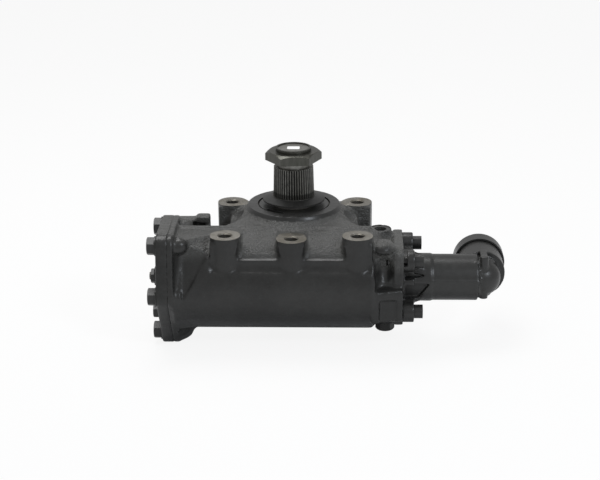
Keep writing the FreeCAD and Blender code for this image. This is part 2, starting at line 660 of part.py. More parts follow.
def side_pieces():
    outer_r = LOWER_JOURNAL_R + BEARING_T
    face = SIDE_JOINT_Z - SIDE_COVER_T
    plate = rod_z(SIDE_COVER_R, face, SIDE_JOINT_Z)
    spigot = rod_z(outer_r - SEAT, SIDE_JOINT_Z, SIDE_JOINT_Z + SPIGOT_H)
    boss = rod_z(SIDE_BOSS_R, face - SIDE_BOSS_H, face)
    seal = tube_z(outer_r, outer_r - 3, SIDE_JOINT_Z, SIDE_JOINT_Z + 2.5)
    pocket = rod_z(LOWER_JOURNAL_R + 1, SIDE_JOINT_Z, SIDE_JOINT_Z + SPIGOT_H)
    tools = [pocket, seal, rod_z(ADJUSTER_R, face - SIDE_BOSS_H, SIDE_JOINT_Z)]
    tools += [rod_z(M10_R + 0.5, face, SIDE_JOINT_Z, x, y) for x, y in side_bolt_points()]
    save("side_cover", cut_all(fuse_all([plate, spigot, boss]), tools))
    save("side_cover_seal", seal)
    bolts = []
    for x, y in side_bolt_points():
        head = hexagon(M10_HEX_AF, M10_HEAD_H, V(x, y, face), V(0, 0, -1))
        bolts.append(head.fuse(rod_z(M10_R, face - 1, SIDE_JOINT_Z + SIDE_BOLT_DEPTH - 2, x, y)))
    save("side_cover_bolts", Part.makeCompound(bolts))
    bearing = tube_z(outer_r, LOWER_JOURNAL_R + RUN, SIDE_JOINT_Z + SPIGOT_H, LOWER_BEARING_TOP_Z)
    save("lower_sector_bearing", bearing)
    head_top = SHAFT_FOOT_Z + ADJUSTER_POCKET_H - 1.0
    tip_z = face - SIDE_BOSS_H - ADJUSTER_NUT_H - ADJUSTER_TIP
    head = rod_z(ADJUSTER_HEAD_R, head_top - ADJUSTER_HEAD_H, head_top)
    screw = rod_z(ADJUSTER_R, tip_z, head_top).fuse(head)
    save("adjusting_screw", screw)
    nut = hexagon(ADJUSTER_NUT_AF, ADJUSTER_NUT_H, V(0, 0, face - SIDE_BOSS_H), V(0, 0, -1))
    save("adjusting_lock_nut", nut.cut(screw))


def hub_pieces():
    skirt = rod_z(CAVITY_R - SEAT, UPPER_BEARING_Z + 2, CARRIER_Z)
    carrier = fuse_all([rod_z(HUB_BORE_R - SEAT, CARRIER_Z, SEAL_Z), skirt])
    save("bearing_carrier", carrier.cut(rod_z(SHAFT_R + BEARING_T, UPPER_BEARING_Z, SEAL_Z)))
    bearing = tube_z(SHAFT_R + BEARING_T, SHAFT_R + RUN, UPPER_BEARING_Z + 2, SEAL_Z - 1)
    save("upper_sector_bearing", bearing)
    ring_top = RETAINER_Z + RETAINER_T
    ring_inner = HUB_BORE_R - RETAINER_WIDTH
    ear_y = -HUB_BORE_R + EAR_R + 1
    seal = tube_z(HUB_BORE_R, SHAFT_R + RUN, SEAL_Z, RETAINER_Z)
    plate = tube_z(ring_inner - FREE, SHAFT_R + RUN, RETAINER_Z - 1, HUB_Z - SEAL_PLATE_DROP)
    reach = EAR_X + EAR_R + FREE
    room = block(-reach, reach, -HUB_BORE_R, ear_y + EAR_R + FREE, RETAINER_Z, HUB_Z)
    plate = plate.cut(room)
    ring = tube_z(HUB_BORE_R + RETAINER_BITE, ring_inner, RETAINER_Z, ring_top)
    half = EAR_X - EAR_R + 1
    ring = ring.cut(block(-half, half, -HUB_BORE_R - 4, -HUB_BORE_R + 10, RETAINER_Z, ring_top))
    for side in (-1, 1):
        ear = tube_z(EAR_R, EAR_HOLE_R, RETAINER_Z, ring_top, side * EAR_X, ear_y)
        ring = ring.fuse(ear)
    for shape in (plate, ring):
        shape.rotate(V(0, 0, 0), V(0, 0, 1), RETAINER_TURN)
    save("sector_shaft_seal", seal.fuse(plate))
    save("retaining_ring", ring)


def sector_tooth(angle):
    """One involute tooth as a flat-sided outline, centred on -Y and turned to its place."""
    base_r = PITCH_R * math.cos(PRESSURE_ANGLE)
    involute = math.tan(PRESSURE_ANGLE) - PRESSURE_ANGLE
    half = (TOOTH_PITCH / 2 - BACKLASH / 2) / PITCH_R / 2 + involute
    steps = 5
    flank = []
    for i in range(steps + 1):
        r = base_r + (SECTOR_TIP_R - base_r) * i / steps
        pressure = math.acos(base_r / r)
        flank.append((r, half - (math.tan(pressure) - pressure)))
    start_r = SECTOR_ROOT_R - 2
    profile = [(start_r, half)] + flank
    points = [(-r * math.sin(a), -r * math.cos(a)) for r, a in profile]
    points += [(r * math.sin(a), -r * math.cos(a)) for r, a in reversed(profile)]
    tooth = prism_z(points, SECTOR_BOTTOM_Z, SECTOR_TOP_Z)
    tooth.rotate(V(0, 0, 0), V(0, 0, 1), angle)
    return tooth


def serrated_taper():
    def star(z):
        outer = TAPER_R - z * TAPER_SLOPE
        points = []
        for i in range(2 * SERRATIONS + 1):
            angle = math.pi * i / SERRATIONS
            r = outer - SERRATION_DEPTH * (i % 2)
            points.append(V(r * math.cos(angle), r * math.sin(angle), z))
        return Part.makePolygon(points)
    return Part.makeLoft([star(0), star(TAPER_LENGTH)], True, True)


def sector_shaft():
    step = 360.0 / SECTOR_TEETH
    first = -(TEETH_CUT - 1) / 2
    shaft_end = TAPER_LENGTH + NECK_LENGTH + NUT_H + NUT_COLLAR_H - 1.5
    pieces = [rod_z(LOWER_JOURNAL_R, SHAFT_FOOT_Z, SECTOR_BOTTOM_Z),
              rod_z(SECTOR_ROOT_R, SECTOR_BOTTOM_Z, SECTOR_TOP_Z),
              rod_z(LOWER_JOURNAL_R, SECTOR_TOP_Z, UPPER_BEARING_Z), rod_z(SHAFT_R, UPPER_BEARING_Z, 0),
              rod_z(THREAD_R, 0, shaft_end), serrated_taper()]
    height = SECTOR_TOP_Z - SECTOR_BOTTOM_Z
    back = Part.makeCylinder(SHAFT_R + 2, height, V(0, 0, SECTOR_BOTTOM_Z), V(0, 0, 1), 160)
    back.rotate(V(0, 0, 0), V(0, 0, 1), 10)
    pieces.append(back)
    pieces += [sector_tooth(step * (first + i)) for i in range(TEETH_CUT)]
    pocket = rod_z(ADJUSTER_HEAD_R + FREE, SHAFT_FOOT_Z, SHAFT_FOOT_Z + ADJUSTER_POCKET_H)
    return fuse_all(pieces).cut(pocket)


def sector_pieces():
    save("sector_shaft", sector_shaft())
    base = TAPER_LENGTH + NECK_LENGTH
    nut = hexagon(NUT_AF, NUT_H, V(0, 0, base), V(0, 0, 1), NUT_TURN)
    collar = rod_z(NUT_COLLAR_R, base + NUT_H - 1, base + NUT_H + NUT_COLLAR_H)
    save("pitman_nut", nut.fuse(collar).cut(rod_z(THREAD_R, base, base + 40)))
    low = DUST_COVER_Z - DUST_COVER_T
    top = DUST_COVER_Z + DUST_COVER_RISE
    outline = [(SHAFT_R, low + 1), (DUST_COVER_R, low), (DUST_COVER_R, DUST_COVER_Z), (SHAFT_R + 1.5, top),
               (SHAFT_R, top)]
    cover = turned(outline, V(0, 0, 0), V(0, 0, 1), V(1, 0, 0))
    save("shaft_dust_cover", cover)


def rack_tools():
    """What is milled out of the piston: the flat over the rack and the five tooth spaces."""
    z0 = WORM_Z - BORE_R
    z1 = WORM_Z + BORE_R
    top = WORM_Y + BORE_R
    ramp = RACK_RAMP * (top - RACK_TIP_Y) / (top - RACK_TIP_Y - 0.4)
    flat = [(-RACK_HALF, RACK_TIP_Y), (RACK_HALF, RACK_TIP_Y),
            (RACK_HALF + ramp, top), (-RACK_HALF - ramp, top)]
    tools = [prism_z(flat, z0, z1)]
    slope = math.tan(PRESSURE_ANGLE)
    pitch_half = (TOOTH_PITCH + BACKLASH) / 4
    tip_half = pitch_half + slope * (RACK_TIP_Y - RACK_PITCH_Y + 1)
    root_half = pitch_half - slope * (RACK_PITCH_Y - RACK_ROOT_Y)
    for i in range(TEETH_CUT):
        x = (i - (TEETH_CUT - 1) / 2) * TOOTH_PITCH
        space = [(x - root_half, RACK_ROOT_Y), (x + root_half, RACK_ROOT_Y),
                 (x + tip_half, RACK_TIP_Y + 1), (x - tip_half, RACK_TIP_Y + 1)]
        tools.append(prism_z(space, z0, z1))
    return tools


def helical_groove(start_x, turns, inward):
    """A V-shaped ball track on the worm's axis; inward is 1 for the worm's track and -1 for the nut's."""
    helix = Part.makeHelix(BALL_PITCH, BALL_PITCH * turns, BALL_RING_R)
    lip = BALL_RING_R + inward * GROOVE_LIP
    floor = BALL_RING_R - inward * GROOVE_DEPTH
    corners = [V(lip, 0, -GROOVE_HALF), V(floor, 0, 0), V(lip, 0, GROOVE_HALF)]
    section = Part.makePolygon(corners + corners[:1])
    track = Part.Wire(helix).makePipeShell([section], True, True)
    track.Placement = FreeCAD.Placement(V(start_x, WORM_Y, WORM_Z), FreeCAD.Rotation(V(0, 0, 1), V(1, 0, 0)))
    return track


def faceted_ball(centre, radius):
    """A steel ball with few flat faces, all inside the true sphere."""
    rings = 4
    spokes = 8
    levels = [[centre + V(0, 0, -radius)]]
    for i in range(1, rings):
        polar = math.pi * i / rings
        levels.append([centre + V(radius * math.sin(polar) * math.cos(2 * math.pi * j / spokes),
                                  radius * math.sin(polar) * math.sin(2 * math.pi * j / spokes),
                                  -radius * math.cos(polar)) for j in range(spokes)])
    levels.append([centre + V(0, 0, radius)])
    faces = []
    for low, high in zip(levels, levels[1:]):
        for j in range(spokes):
            k = j + 1
            corners = [low[j % len(low)], low[k % len(low)], high[k % len(high)], high[j % len(high)]]
            unique = [p for i, p in enumerate(corners) if p != corners[i - 1]]
            faces.append(Part.Face(Part.makePolygon(unique + unique[:1])))
    return solid_of(faces)


def piston_pieces():
    groove_x = WORM_LEFT_X + GROOVE_START
    nut_x = groove_x + NUT_GROOVE_SKIP * BALL_PITCH
    body = rod_x(PISTON_R, PISTON_LEFT_X, PISTON_RIGHT_X)
    ring_x = PISTON_LEFT_X + 8
    tools = rack_tools() + [rod_x(PISTON_HOLE_R, PISTON_HOLE_LEFT_X, PISTON_RIGHT_X),
                            tube_x(PISTON_R + 1, PISTON_R - RING_DEPTH, ring_x, ring_x + RING_W)]
    body = cut_all(body, tools).cut(helical_groove(nut_x, NUT_GROOVE_TURNS, -1))
    save("piston", body)
    save("piston_seal_ring", tube_x(BORE_R - RUN, PISTON_R - RING_DEPTH, ring_x, ring_x + RING_W))
    balls = []
    turn = FreeCAD.Rotation(V(0, 0, 1), V(1, 0, 0))
    for i in range(BALL_COUNT):
        angle = 2 * math.pi * NUT_GROOVE_TURNS * (i + 0.5) / BALL_COUNT
        along = BALL_PITCH * angle / 2 / math.pi
        local = V(BALL_RING_R * math.cos(angle), BALL_RING_R * math.sin(angle), along)
        balls.append(faceted_ball(turn.multVec(local) + V(nut_x, WORM_Y, WORM_Z), BALL_R))
    save("circulating_balls", Part.makeCompound(balls))


def worm_shaft():
    track = helical_groove(WORM_LEFT_X + GROOVE_START, GROOVE_TURNS, 1)
    screw = rod_x(WORM_R, WORM_LEFT_X, BORE_END_X - 2).cut(track)
    neck = rod_x(WORM_NECK_R, BORE_END_X - 2, VALVE_START_X + 2)
    shoulder = rod_x(WORM_NECK_R + 3, BORE_END_X - 2, BORE_END_X)
    return fuse_all([screw, neck, shoulder]).cut(rod_x(TORSION_R + FREE, 40, VALVE_START_X + 2))


def bevel_gear(shift):
    """A straight bevel gear with its apex at the origin and its big end up along +Z."""
    def tooth_ring(scale):
        height = BEVEL_PITCH_R * scale
        tip = BEVEL_MODULE * 0.707
        points = []
        quarter = math.pi / BEVEL_TEETH / 2
        play = BEVEL_BACKLASH / BEVEL_PITCH_R / 2
        shape = [(-quarter * 1.75, -1.25), (-quarter + play, 0), (-quarter * 0.4, BEVEL_TIP),
                 (quarter * 0.4, BEVEL_TIP), (quarter - play, 0), (quarter * 1.75, -1.25)]
        for i in range(BEVEL_TEETH):
            middle = 2 * math.pi * (i + shift) / BEVEL_TEETH
            for turn, rise in shape:
                r = (BEVEL_PITCH_R + rise * tip) * scale
                level = height - rise * tip * scale
                points.append(V(r * math.cos(middle + turn), r * math.sin(middle + turn), level))
        return points
    big = tooth_ring(1.0)
    small = tooth_ring(1.0 - BEVEL_FACE * 0.707 / BEVEL_PITCH_R)
    faces = []
    count = len(big)
    for i in range(count):
        j = (i + 1) % count
        faces.append(Part.Face(Part.makePolygon([big[i], big[j], small[j], big[i]])))
        faces.append(Part.Face(Part.makePolygon([big[i], small[j], small[i], big[i]])))
    low = V(0, 0, small[0].z)
    high = V(0, 0, big[0].z)
    for i in range(count):
        j = (i + 1) % count
        faces.append(Part.Face(Part.makePolygon([small[i], small[j], low, small[i]])))
        faces.append(Part.Face(Part.makePolygon([big[i], big[j], high, big[i]])))
    return solid_of(faces)


def placed_gear(axis, across, shift):
    """Set a bevel gear on its axis; across is the side where it meets the other gear."""
    gear = bevel_gear(shift).fuse(Part.makeCylinder(GEAR_HUB_R, GEAR_HUB_H, V(0, 0, BEVEL_PITCH_R - 2)))
    rotation = FreeCAD.Rotation(across, axis.cross(across), axis, "ZXY")
    gear.Placement = FreeCAD.Placement(V(BEVEL_X, WORM_Y, WORM_Z), rotation)
    return gear


def worm_pieces():
    save("worm_shaft", worm_shaft())
    save("worm_bearing", tube_x(VALVE_BORE_R, WORM_NECK_R + RUN, BORE_END_X, VALVE_START_X))
    sleeve = tube_x(VALVE_BORE_R - RUN, ROTOR_R + SEAT, VALVE_START_X + 2.5, SLEEVE_END_X)
    span = (SLEEVE_END_X - VALVE_START_X) / (VALVE_GROOVES + 1)
    grooves = []
    for i in range(VALVE_GROOVES):
        x = VALVE_START_X + span * (i + 1)
        grooves.append(tube_x(VALVE_BORE_R, VALVE_BORE_R - VALVE_GROOVE_W, x, x + VALVE_GROOVE_W))
    save("valve_sleeve", cut_all(sleeve, grooves))
    rotor = fuse_all([rod_x(ROTOR_R, VALVE_START_X + 2 + SEAT, DRIVE_BEARING_X + DRIVE_BEARING_W),
                      rod_x(GEAR_BORE_R - SEAT, DRIVE_BEARING_X, ROTOR_END_X + 6)])
    save("valve_rotor", rotor.cut(rod_x(TORSION_R + FREE, VALVE_START_X, ROTOR_END_X - 6)))
    save("torsion_bar", rod_x(TORSION_R, 42, ROTOR_END_X - 8))
    save("input_seal", tube_x(VALVE_BORE_R, ROTOR_R + RUN, INPUT_SEAL_X, INPUT_SEAL_X + INPUT_SEAL_W))
    gear = placed_gear(V(-1, 0, 0), V(0, 1, 0), 0.0)
    save("worm_bevel_gear", gear.cut(rod_x(GEAR_BORE_R, DRIVE_BEARING_X, BEVEL_X)))
    bearing = tube_x(TUBE_BORE_R, ROTOR_R + RUN, DRIVE_BEARING_X, DRIVE_BEARING_X + DRIVE_BEARING_W)
    save("drive_bearing", bearing)


def drive_flange():
    """Four lugs round a hub, with cut-outs between them, and ribs back to the tube."""
    x1 = RIM_X + DRIVE_FLANGE_T
    pieces = [rod_x(38.0, RIM_X, x1)]
    for y, z in rim_screw_points():
        pieces.append(rod_x(LUG_R, RIM_X, x1, y, z))
    rib_top = math.hypot(SCREW_OFFSET, SCREW_OFFSET) - 4
    for i in range(4):
        web = block(RIM_X, x1, -10, 10, 0, rib_top)
        corners = [V(x1 - 1, -4, 20), V(x1 - 1, -4, rib_top - M12_CAP_R), V(COLLAR_END_X - 4, -4, TUBE_R - 1),
                   V(COLLAR_END_X - 4, -4, 20)]
        rib = Part.Face(Part.makePolygon(corners + corners[:1])).extrude(V(0, 8, 0))
        for piece in (web, rib):
            piece.rotate(V(0, 0, 0), V(1, 0, 0), 45 + 90 * i)
            piece.translate(V(0, WORM_Y, WORM_Z))
            pieces.append(piece)
    return pieces


def mitred(shape, depth):
    """Cut a shape of the corner back to a plane that lies depth below the mitre face."""
    along = V(MITRE_END[0] - MITRE_START[0], MITRE_END[1] - MITRE_START[1], 0).normalize()
    inward = V(-along.y, along.x, 0)
    start = V(MITRE_START[0], MITRE_START[1], 0) + inward * depth
    first = start - along * MITRE_REACH
    last = start + along * 2 * MITRE_REACH
    corners = [first, last, last - inward * MITRE_REACH, first - inward * MITRE_REACH]
    return shape.cut(prism_z([(p.x, p.y) for p in corners], WORM_Z - MITRE_REACH, WORM_Z + MITRE_REACH))


def elbow_form():
    """The mitred corner between tube and barrel, with its parting rib and a column over its whole height."""
    centre = V(BEVEL_X, WORM_Y, WORM_Z)
    shell = mitred(Part.makeSphere(ELBOW_R, centre), RECESS_DEPTH)
    right = BEVEL_X + BARREL_R - 1
    below = RIB_Z - RIB_T / 2
    above = RIB_Z + RIB_T / 2
    plate = block(TUBE_END_X - 2, right, WORM_Y - TUBE_R, BARREL_START_Y + 2, below, above)
    rib = mitred(plate.common(rod_y(BARREL_R, WORM_Y - 40, BARREL_START_Y + 3)), 0.0)
    low = WORM_Z - COLUMN_DOWN
    high = WORM_Z + COLUMN_UP
    column = rod_z(COLUMN_R, low, high, COLUMN_X, COLUMN_Y)
    half = COLUMN_R - 1.5
    web = block(COLUMN_X - half, COLUMN_X + half, COLUMN_Y, BARREL_START_Y + 2, low + 1, high - 1)
    return [shell, rib, column, web]


def gusset_form():
    """A plate from the flange back to the collar, below the parting plane."""
    x0 = RIM_X + DRIVE_FLANGE_T - 1
    points = [(x0, -RIM_REACH_Y), (x0, 0), (GUSSET_TIP_X, 0), (GUSSET_TIP_X, -GUSSET_TIP_Y)]
    return prism_z([(x, WORM_Y + y) for x, y in points], GUSSET_Z - GUSSET_T / 2, GUSSET_Z + GUSSET_T / 2)


def bevel_housing():
    outside = drive_flange() + [rod_x(COLLAR_R, RIM_X, COLLAR_END_X), rod_x(TUBE_R, RIM_X, TUBE_END_X)]
    outside += [gusset_form(), rod_y(BARREL_R, BARREL_START_Y, BARREL_END_Y)] + elbow_form()
    room = mitred(Part.makeSphere(ROOM_R, V(BEVEL_X, WORM_Y, WORM_Z)), ROOM_DEPTH)
    throat = mitred(rod_y(THROAT_R, BARREL_START_Y + 1, BARREL_START_Y + ROOM_WALL + 0.5), ROOM_DEPTH)
    inside = [rod_x(TUBE_BORE_R, RIM_X, TUBE_END_X - ROOM_WALL),
              rod_y(BARREL_BORE_R, BARREL_START_Y + ROOM_WALL, BARREL_END_Y), room, throat]
    face = RIM_X + DRIVE_FLANGE_T
    for y, z in rim_screw_points():
        inside.append(rod_x(M12_R + 0.5, RIM_X, face, y, z))
        inside.append(rod_x(M12_CAP_R + 1, face, face + M12_CAP_H + 6, y, z))
    return cut_all(fuse_all(outside), inside)


def input_pieces():
    save("bevel_housing", bevel_housing())
    screws = []
    face = RIM_X + DRIVE_FLANGE_T
    for y, z in rim_screw_points():
        screw = rod_x(M12_CAP_R, face, face + M12_CAP_H, y, z).fuse(rod_x(M12_R, RIM_X - 20, face + 1, y, z))
        socket = hexagon(10.0, 6.0, V(face + M12_CAP_H, y, z), V(-1, 0, 0), chamfer=False)
        screws.append(screw.cut(socket))
    save("bevel_housing_screws", Part.makeCompound(screws))
    bearing = tube_y(BARREL_BORE_R, INPUT_R + RUN, INPUT_BEARING_Y, INPUT_BEARING_Y + INPUT_BEARING_W)
    save("input_bearing", bearing)
    save("input_shaft_seal", tube_y(BARREL_BORE_R, INPUT_R + RUN, INPUT_SEAL_Y, INPUT_SEAL_Y + SEAL_H))
    pinion = placed_gear(V(0, 1, 0), V(-1, 0, 0), 0.5)
    save("input_bevel_pinion", pinion.cut(rod_y(GEAR_BORE_R, WORM_Y, 0)))
    start = WORM_Y + BEVEL_PITCH_R - 4
    shoulder = WORM_Y + BEVEL_PITCH_R + GEAR_HUB_H - 2
    journal = rod_y(INPUT_R, shoulder, INPUT_END_Y - SPLINE_LENGTH)
    shaft = fuse_all([rod_y(GEAR_BORE_R - SEAT, start, 0), journal, rod_y(SPLINE_R, 0, INPUT_END_Y)])
    save("input_shaft", shaft)
    inner_y = CAP_FACE_Y - 3
    edge_y = CAP_FACE_Y - CAP_DEPTH
    outer = [(INPUT_R, inner_y), (INPUT_R, CAP_FACE_Y), (CAP_R - 4, CAP_FACE_Y), (CAP_R, inner_y),
             (CAP_R, edge_y)]
    inner = [(CAP_R - CAP_WALL, edge_y), (CAP_R - CAP_WALL, inner_y - 1), (CAP_R - 4, inner_y)]
    cap = turned(outer + inner, V(BEVEL_X, 0, WORM_Z), V(0, 1, 0), V(1, 0, 0))
    save("input_dust_cap", cap)


def plug():
    head = hexagon(PLUG_AF, PLUG_H, V(PLUG_X, WORM_Y, PLUG_BOSS_Z), V(0, 0, -1))
    save("housing_plug", head.fuse(rod_z(M12_R + 1, PLUG_BOSS_Z - 1, PLUG_BOSS_Z + 14, PLUG_X, WORM_Y)))


save("main_housing", main_housing())
end_pieces()
side_pieces()
hub_pieces()
sector_pieces()
piston_pieces()
worm_pieces()
input_pieces()
plug()
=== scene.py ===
# %% [markdown]
# # Steering gear
# A truck's steering gear is a heavy iron casting with a few bright machined faces on it. Nearly all
# of what the eye reads as real is in that contrast: soft cast fillets and satin black paint against
# crisp turned and milled steel. This lesson dresses the packed CAD model with both.

# %% Load the packed model
import math
import bmesh
import bpy
from mathutils import Matrix, Vector


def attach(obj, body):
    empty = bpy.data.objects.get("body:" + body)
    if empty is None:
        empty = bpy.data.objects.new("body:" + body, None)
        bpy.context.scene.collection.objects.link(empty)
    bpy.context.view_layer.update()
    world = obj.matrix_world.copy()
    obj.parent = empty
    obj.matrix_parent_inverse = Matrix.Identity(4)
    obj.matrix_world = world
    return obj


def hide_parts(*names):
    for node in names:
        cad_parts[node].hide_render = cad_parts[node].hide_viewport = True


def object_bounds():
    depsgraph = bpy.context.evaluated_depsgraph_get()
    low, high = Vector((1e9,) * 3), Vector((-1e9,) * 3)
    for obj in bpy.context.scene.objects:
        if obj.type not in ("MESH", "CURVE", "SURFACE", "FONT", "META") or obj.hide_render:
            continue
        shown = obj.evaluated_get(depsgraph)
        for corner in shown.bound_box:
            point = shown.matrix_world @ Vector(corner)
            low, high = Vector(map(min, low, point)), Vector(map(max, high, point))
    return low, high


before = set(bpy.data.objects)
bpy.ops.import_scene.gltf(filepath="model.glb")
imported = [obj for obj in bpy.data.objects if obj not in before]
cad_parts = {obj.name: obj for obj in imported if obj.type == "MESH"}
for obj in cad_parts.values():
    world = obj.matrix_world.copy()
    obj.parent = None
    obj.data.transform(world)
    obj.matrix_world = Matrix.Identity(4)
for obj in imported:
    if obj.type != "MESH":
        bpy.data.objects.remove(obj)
cad_low, cad_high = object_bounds()
scene = bpy.context.scene
MM = 0.001


# %% [markdown]
# ## Camera
# The photograph looks down on the gear box by about twenty degrees from a little over two metres,
# with a long lens. The camera is placed by those angles, so that parallel edges converge as little
# as they do in the photograph. Its focal length and the shift of its centre are in pixels.

# %% Camera at the photograph's angle
YAW = math.radians(2.173)
ELEVATION = math.radians(20.306)
ROLL = math.radians(0.566)
DISTANCE = 2.0728
TARGET = Vector((0, -0.030, -0.082))
PHOTO_WIDTH = 600
FOCAL_LENGTH = 1549.7
SHIFT_X, SHIFT_Y = 6.36, 19.38
SENSOR_WIDTH = 36

level = math.cos(ELEVATION)
back = Vector((math.sin(YAW) * level, -math.cos(YAW) * level, math.sin(ELEVATION)))
right = Vector((math.cos(YAW), math.sin(YAW), 0))
up = back.cross(right)
rolled_right = right * math.cos(-ROLL) + up * math.sin(-ROLL)
rolled_up = up * math.cos(-ROLL) - right * math.sin(-ROLL)

camera_data = bpy.data.cameras.new("camera")
camera_data.sensor_width = SENSOR_WIDTH
camera_data.lens = FOCAL_LENGTH / PHOTO_WIDTH * SENSOR_WIDTH
camera_data.shift_x = SHIFT_X / PHOTO_WIDTH
camera_data.shift_y = SHIFT_Y / PHOTO_WIDTH
camera_data.clip_end = 50
camera = bpy.data.objects.new("camera", camera_data)
stand = Matrix((rolled_right, rolled_up, back)).transposed().to_4x4()
stand.translation = TARGET + back * DISTANCE
camera.matrix_world = stand
scene.collection.objects.link(camera)
scene.camera = camera
print("camera stands at", [round(c, 3) for c in stand.translation])


# %% [markdown]
# ## Shader maths
# Shader nodes are easier to read as sums. The class below wraps a socket, so that adding, taking
# away or multiplying two of them writes the Math node, and one method makes every other node.

# %% A socket that can be reckoned with
class Wire:
    """A socket of a material's node tree that can be used in Python expressions."""

    def __init__(self, tree, socket):
        self.tree = tree
        self.socket = socket

    def put(self, socket, value):
        """Give a socket a value, or a link if the value is a wire."""
        if isinstance(value, Wire):
            self.tree.links.new(value.socket, socket)
        else:
            socket.default_value = value

    def node(self, kind, values=(), **settings):
        """A new node with these settings and socket values, as the wire of its first output."""
        made = self.tree.nodes.new(kind)
        for name, value in settings.items():
            setattr(made, name, value)
        for key, value in dict(values).items():
            self.put(made.inputs[key], value)
        return Wire(self.tree, made.outputs[0])

    def math(self, operation, *others):
        return self.node("ShaderNodeMath", enumerate((self,) + others), operation=operation)

    def __add__(self, other):
        return self.math("ADD", other)

    def __radd__(self, other):
        return self.math("ADD", other)

    def __sub__(self, other):
        return self.math("SUBTRACT", other)

    def __rsub__(self, other):
        return self.node("ShaderNodeMath", {0: other, 1: self}, operation="SUBTRACT")

    def __mul__(self, other):
        return self.math("MULTIPLY", other)

    def __rmul__(self, other):
        return self.math("MULTIPLY", other)

    def smooth(self, low, high):
        """0 below low and 1 above high, with a soft step between them."""
        return self.node("ShaderNodeMapRange", {"Value": self, "From Min": low, "From Max": high},
                         interpolation_type="SMOOTHSTEP")

    def mix(self, one, other):
        """The colour one where this mask is 0, and other where it is 1."""
        made = self.tree.nodes.new("ShaderNodeMix")
        made.data_type = "RGBA"
        self.put(made.inputs["Factor"], self)
        self.put(made.inputs[6], one)
        self.put(made.inputs[7], other)
        return Wire(self.tree, made.outputs[2])

    def axes(self):
        """The X, Y and Z of this vector, each as a wire."""
        split = self.node("ShaderNodeSeparateXYZ", {0: self}).socket.node
        return [Wire(self.tree, output) for output in split.outputs]


print("operators:", [name for name in vars(Wire) if name.startswith("__r")])


# %% [markdown]
# ## World
# The photograph has a plain white ground and soft light from all round. Much white light from the
# world would lift the black paint, so the world lights the object weakly, and only what the camera
# sees of it is pure white.

# %% A weak world that looks white
WHITE = (1, 1, 1, 1)
WORLD_GLOW = 0.55

world = bpy.data.worlds.new("studio")
scene.world = world
world.use_nodes = True
world_nodes = world.node_tree.nodes
world_links = world.node_tree.links
glow = world_nodes["Background"]
glow.inputs["Color"].default_value = WHITE
glow.inputs["Strength"].default_value = WORLD_GLOW
backdrop = world_nodes.new("ShaderNodeBackground")
backdrop.inputs["Color"].default_value = WHITE
backdrop.inputs["Strength"].default_value = 1.0
chooser = world_nodes.new("ShaderNodeMixShader")
rays = world_nodes.new("ShaderNodeLightPath")
world_links.new(rays.outputs["Is Camera Ray"], chooser.inputs[0])
world_links.new(glow.outputs[0], chooser.inputs[1])
world_links.new(backdrop.outputs[0], chooser.inputs[2])
world_links.new(chooser.outputs[0], world_nodes["World Output"].inputs[0])
print("world lights at", WORLD_GLOW)


# %% [markdown]
# ## Lamps
# A wide lamp above lights the top faces. A smaller, slightly blue one stands in front at the right
# and above, and puts the soft highlights on the barrel of the bevel drive and on the nut's flats.

# %% Two soft lamps
LIGHT_AIM = Vector((0, 0, -0.1))


def lamp(name, stand, size, power, colour=(1, 1, 1)):
    """A soft rectangular lamp that looks at the object from its stand."""
    data = bpy.data.lights.new(name, "AREA")
    data.shape = "RECTANGLE"
    data.size, data.size_y = size
    data.energy = power
    data.color = colour
    made = bpy.data.objects.new(name, data)
    made.location = stand
    made.rotation_euler = (LIGHT_AIM - Vector(stand)).to_track_quat("-Z", "Y").to_euler()
    scene.collection.objects.link(made)


lamp("top_lamp", (-0.3, 0.3, 1.4), (1.2, 0.7), 14.5)
lamp("right_lamp", (1.3, -1.5, 1.3), (0.4, 0.4), 17.0, (0.86, 0.92, 1.0))
print("lamps:", len(bpy.data.lights))


# %% [markdown]
# ## Floor
# The floor is a pale sheet just under the box. The camera sees it mostly as a white glow and partly
# as a matt surface, so that it is almost white and still keeps a faint shadow.

# %% White floor
FLOOR_Z = cad_low.z - 0.0005
FLOOR_REACH = 6
FLOOR_GLOW = 0.88

bm = bmesh.new()
bmesh.ops.create_grid(bm, x_segments=1, y_segments=1, size=FLOOR_REACH)
bmesh.ops.translate(bm, verts=bm.verts, vec=(0, 0, FLOOR_Z))
floor_mesh = bpy.data.meshes.new("floor")
bm.to_mesh(floor_mesh)
bm.free()
floor = bpy.data.objects.new("floor", floor_mesh)
scene.collection.objects.link(floor)

ground = bpy.data.materials.new("white_ground")
ground.use_nodes = True
ground_nodes = ground.node_tree.nodes
ground_links = ground.node_tree.links
matt = ground_nodes["Principled BSDF"]
matt.inputs["Base Color"].default_value = (0.8, 0.8, 0.8, 1)
matt.inputs["Roughness"].default_value = 0.9
seen = Wire(ground.node_tree, ground_nodes.new("ShaderNodeLightPath").outputs["Is Camera Ray"])
blend = ground_nodes.new("ShaderNodeMixShader")
ground_links.new((seen * FLOOR_GLOW).socket, blend.inputs[0])
ground_links.new(matt.outputs[0], blend.inputs[1])
ground_links.new(ground_nodes.new("ShaderNodeEmission").outputs[0], blend.inputs[2])
ground_links.new(blend.outputs[0], ground_nodes["Material Output"].inputs[0])
floor_mesh.materials.append(ground)
print("floor at z =", round(FLOOR_Z, 4))


# %% [markdown]
# ## Starting a finish
# Every finish here starts in the same way: a material, its shader, and the place of a point on the
# object in metres. Patterns that read this place stay put on the part and keep their real scale.

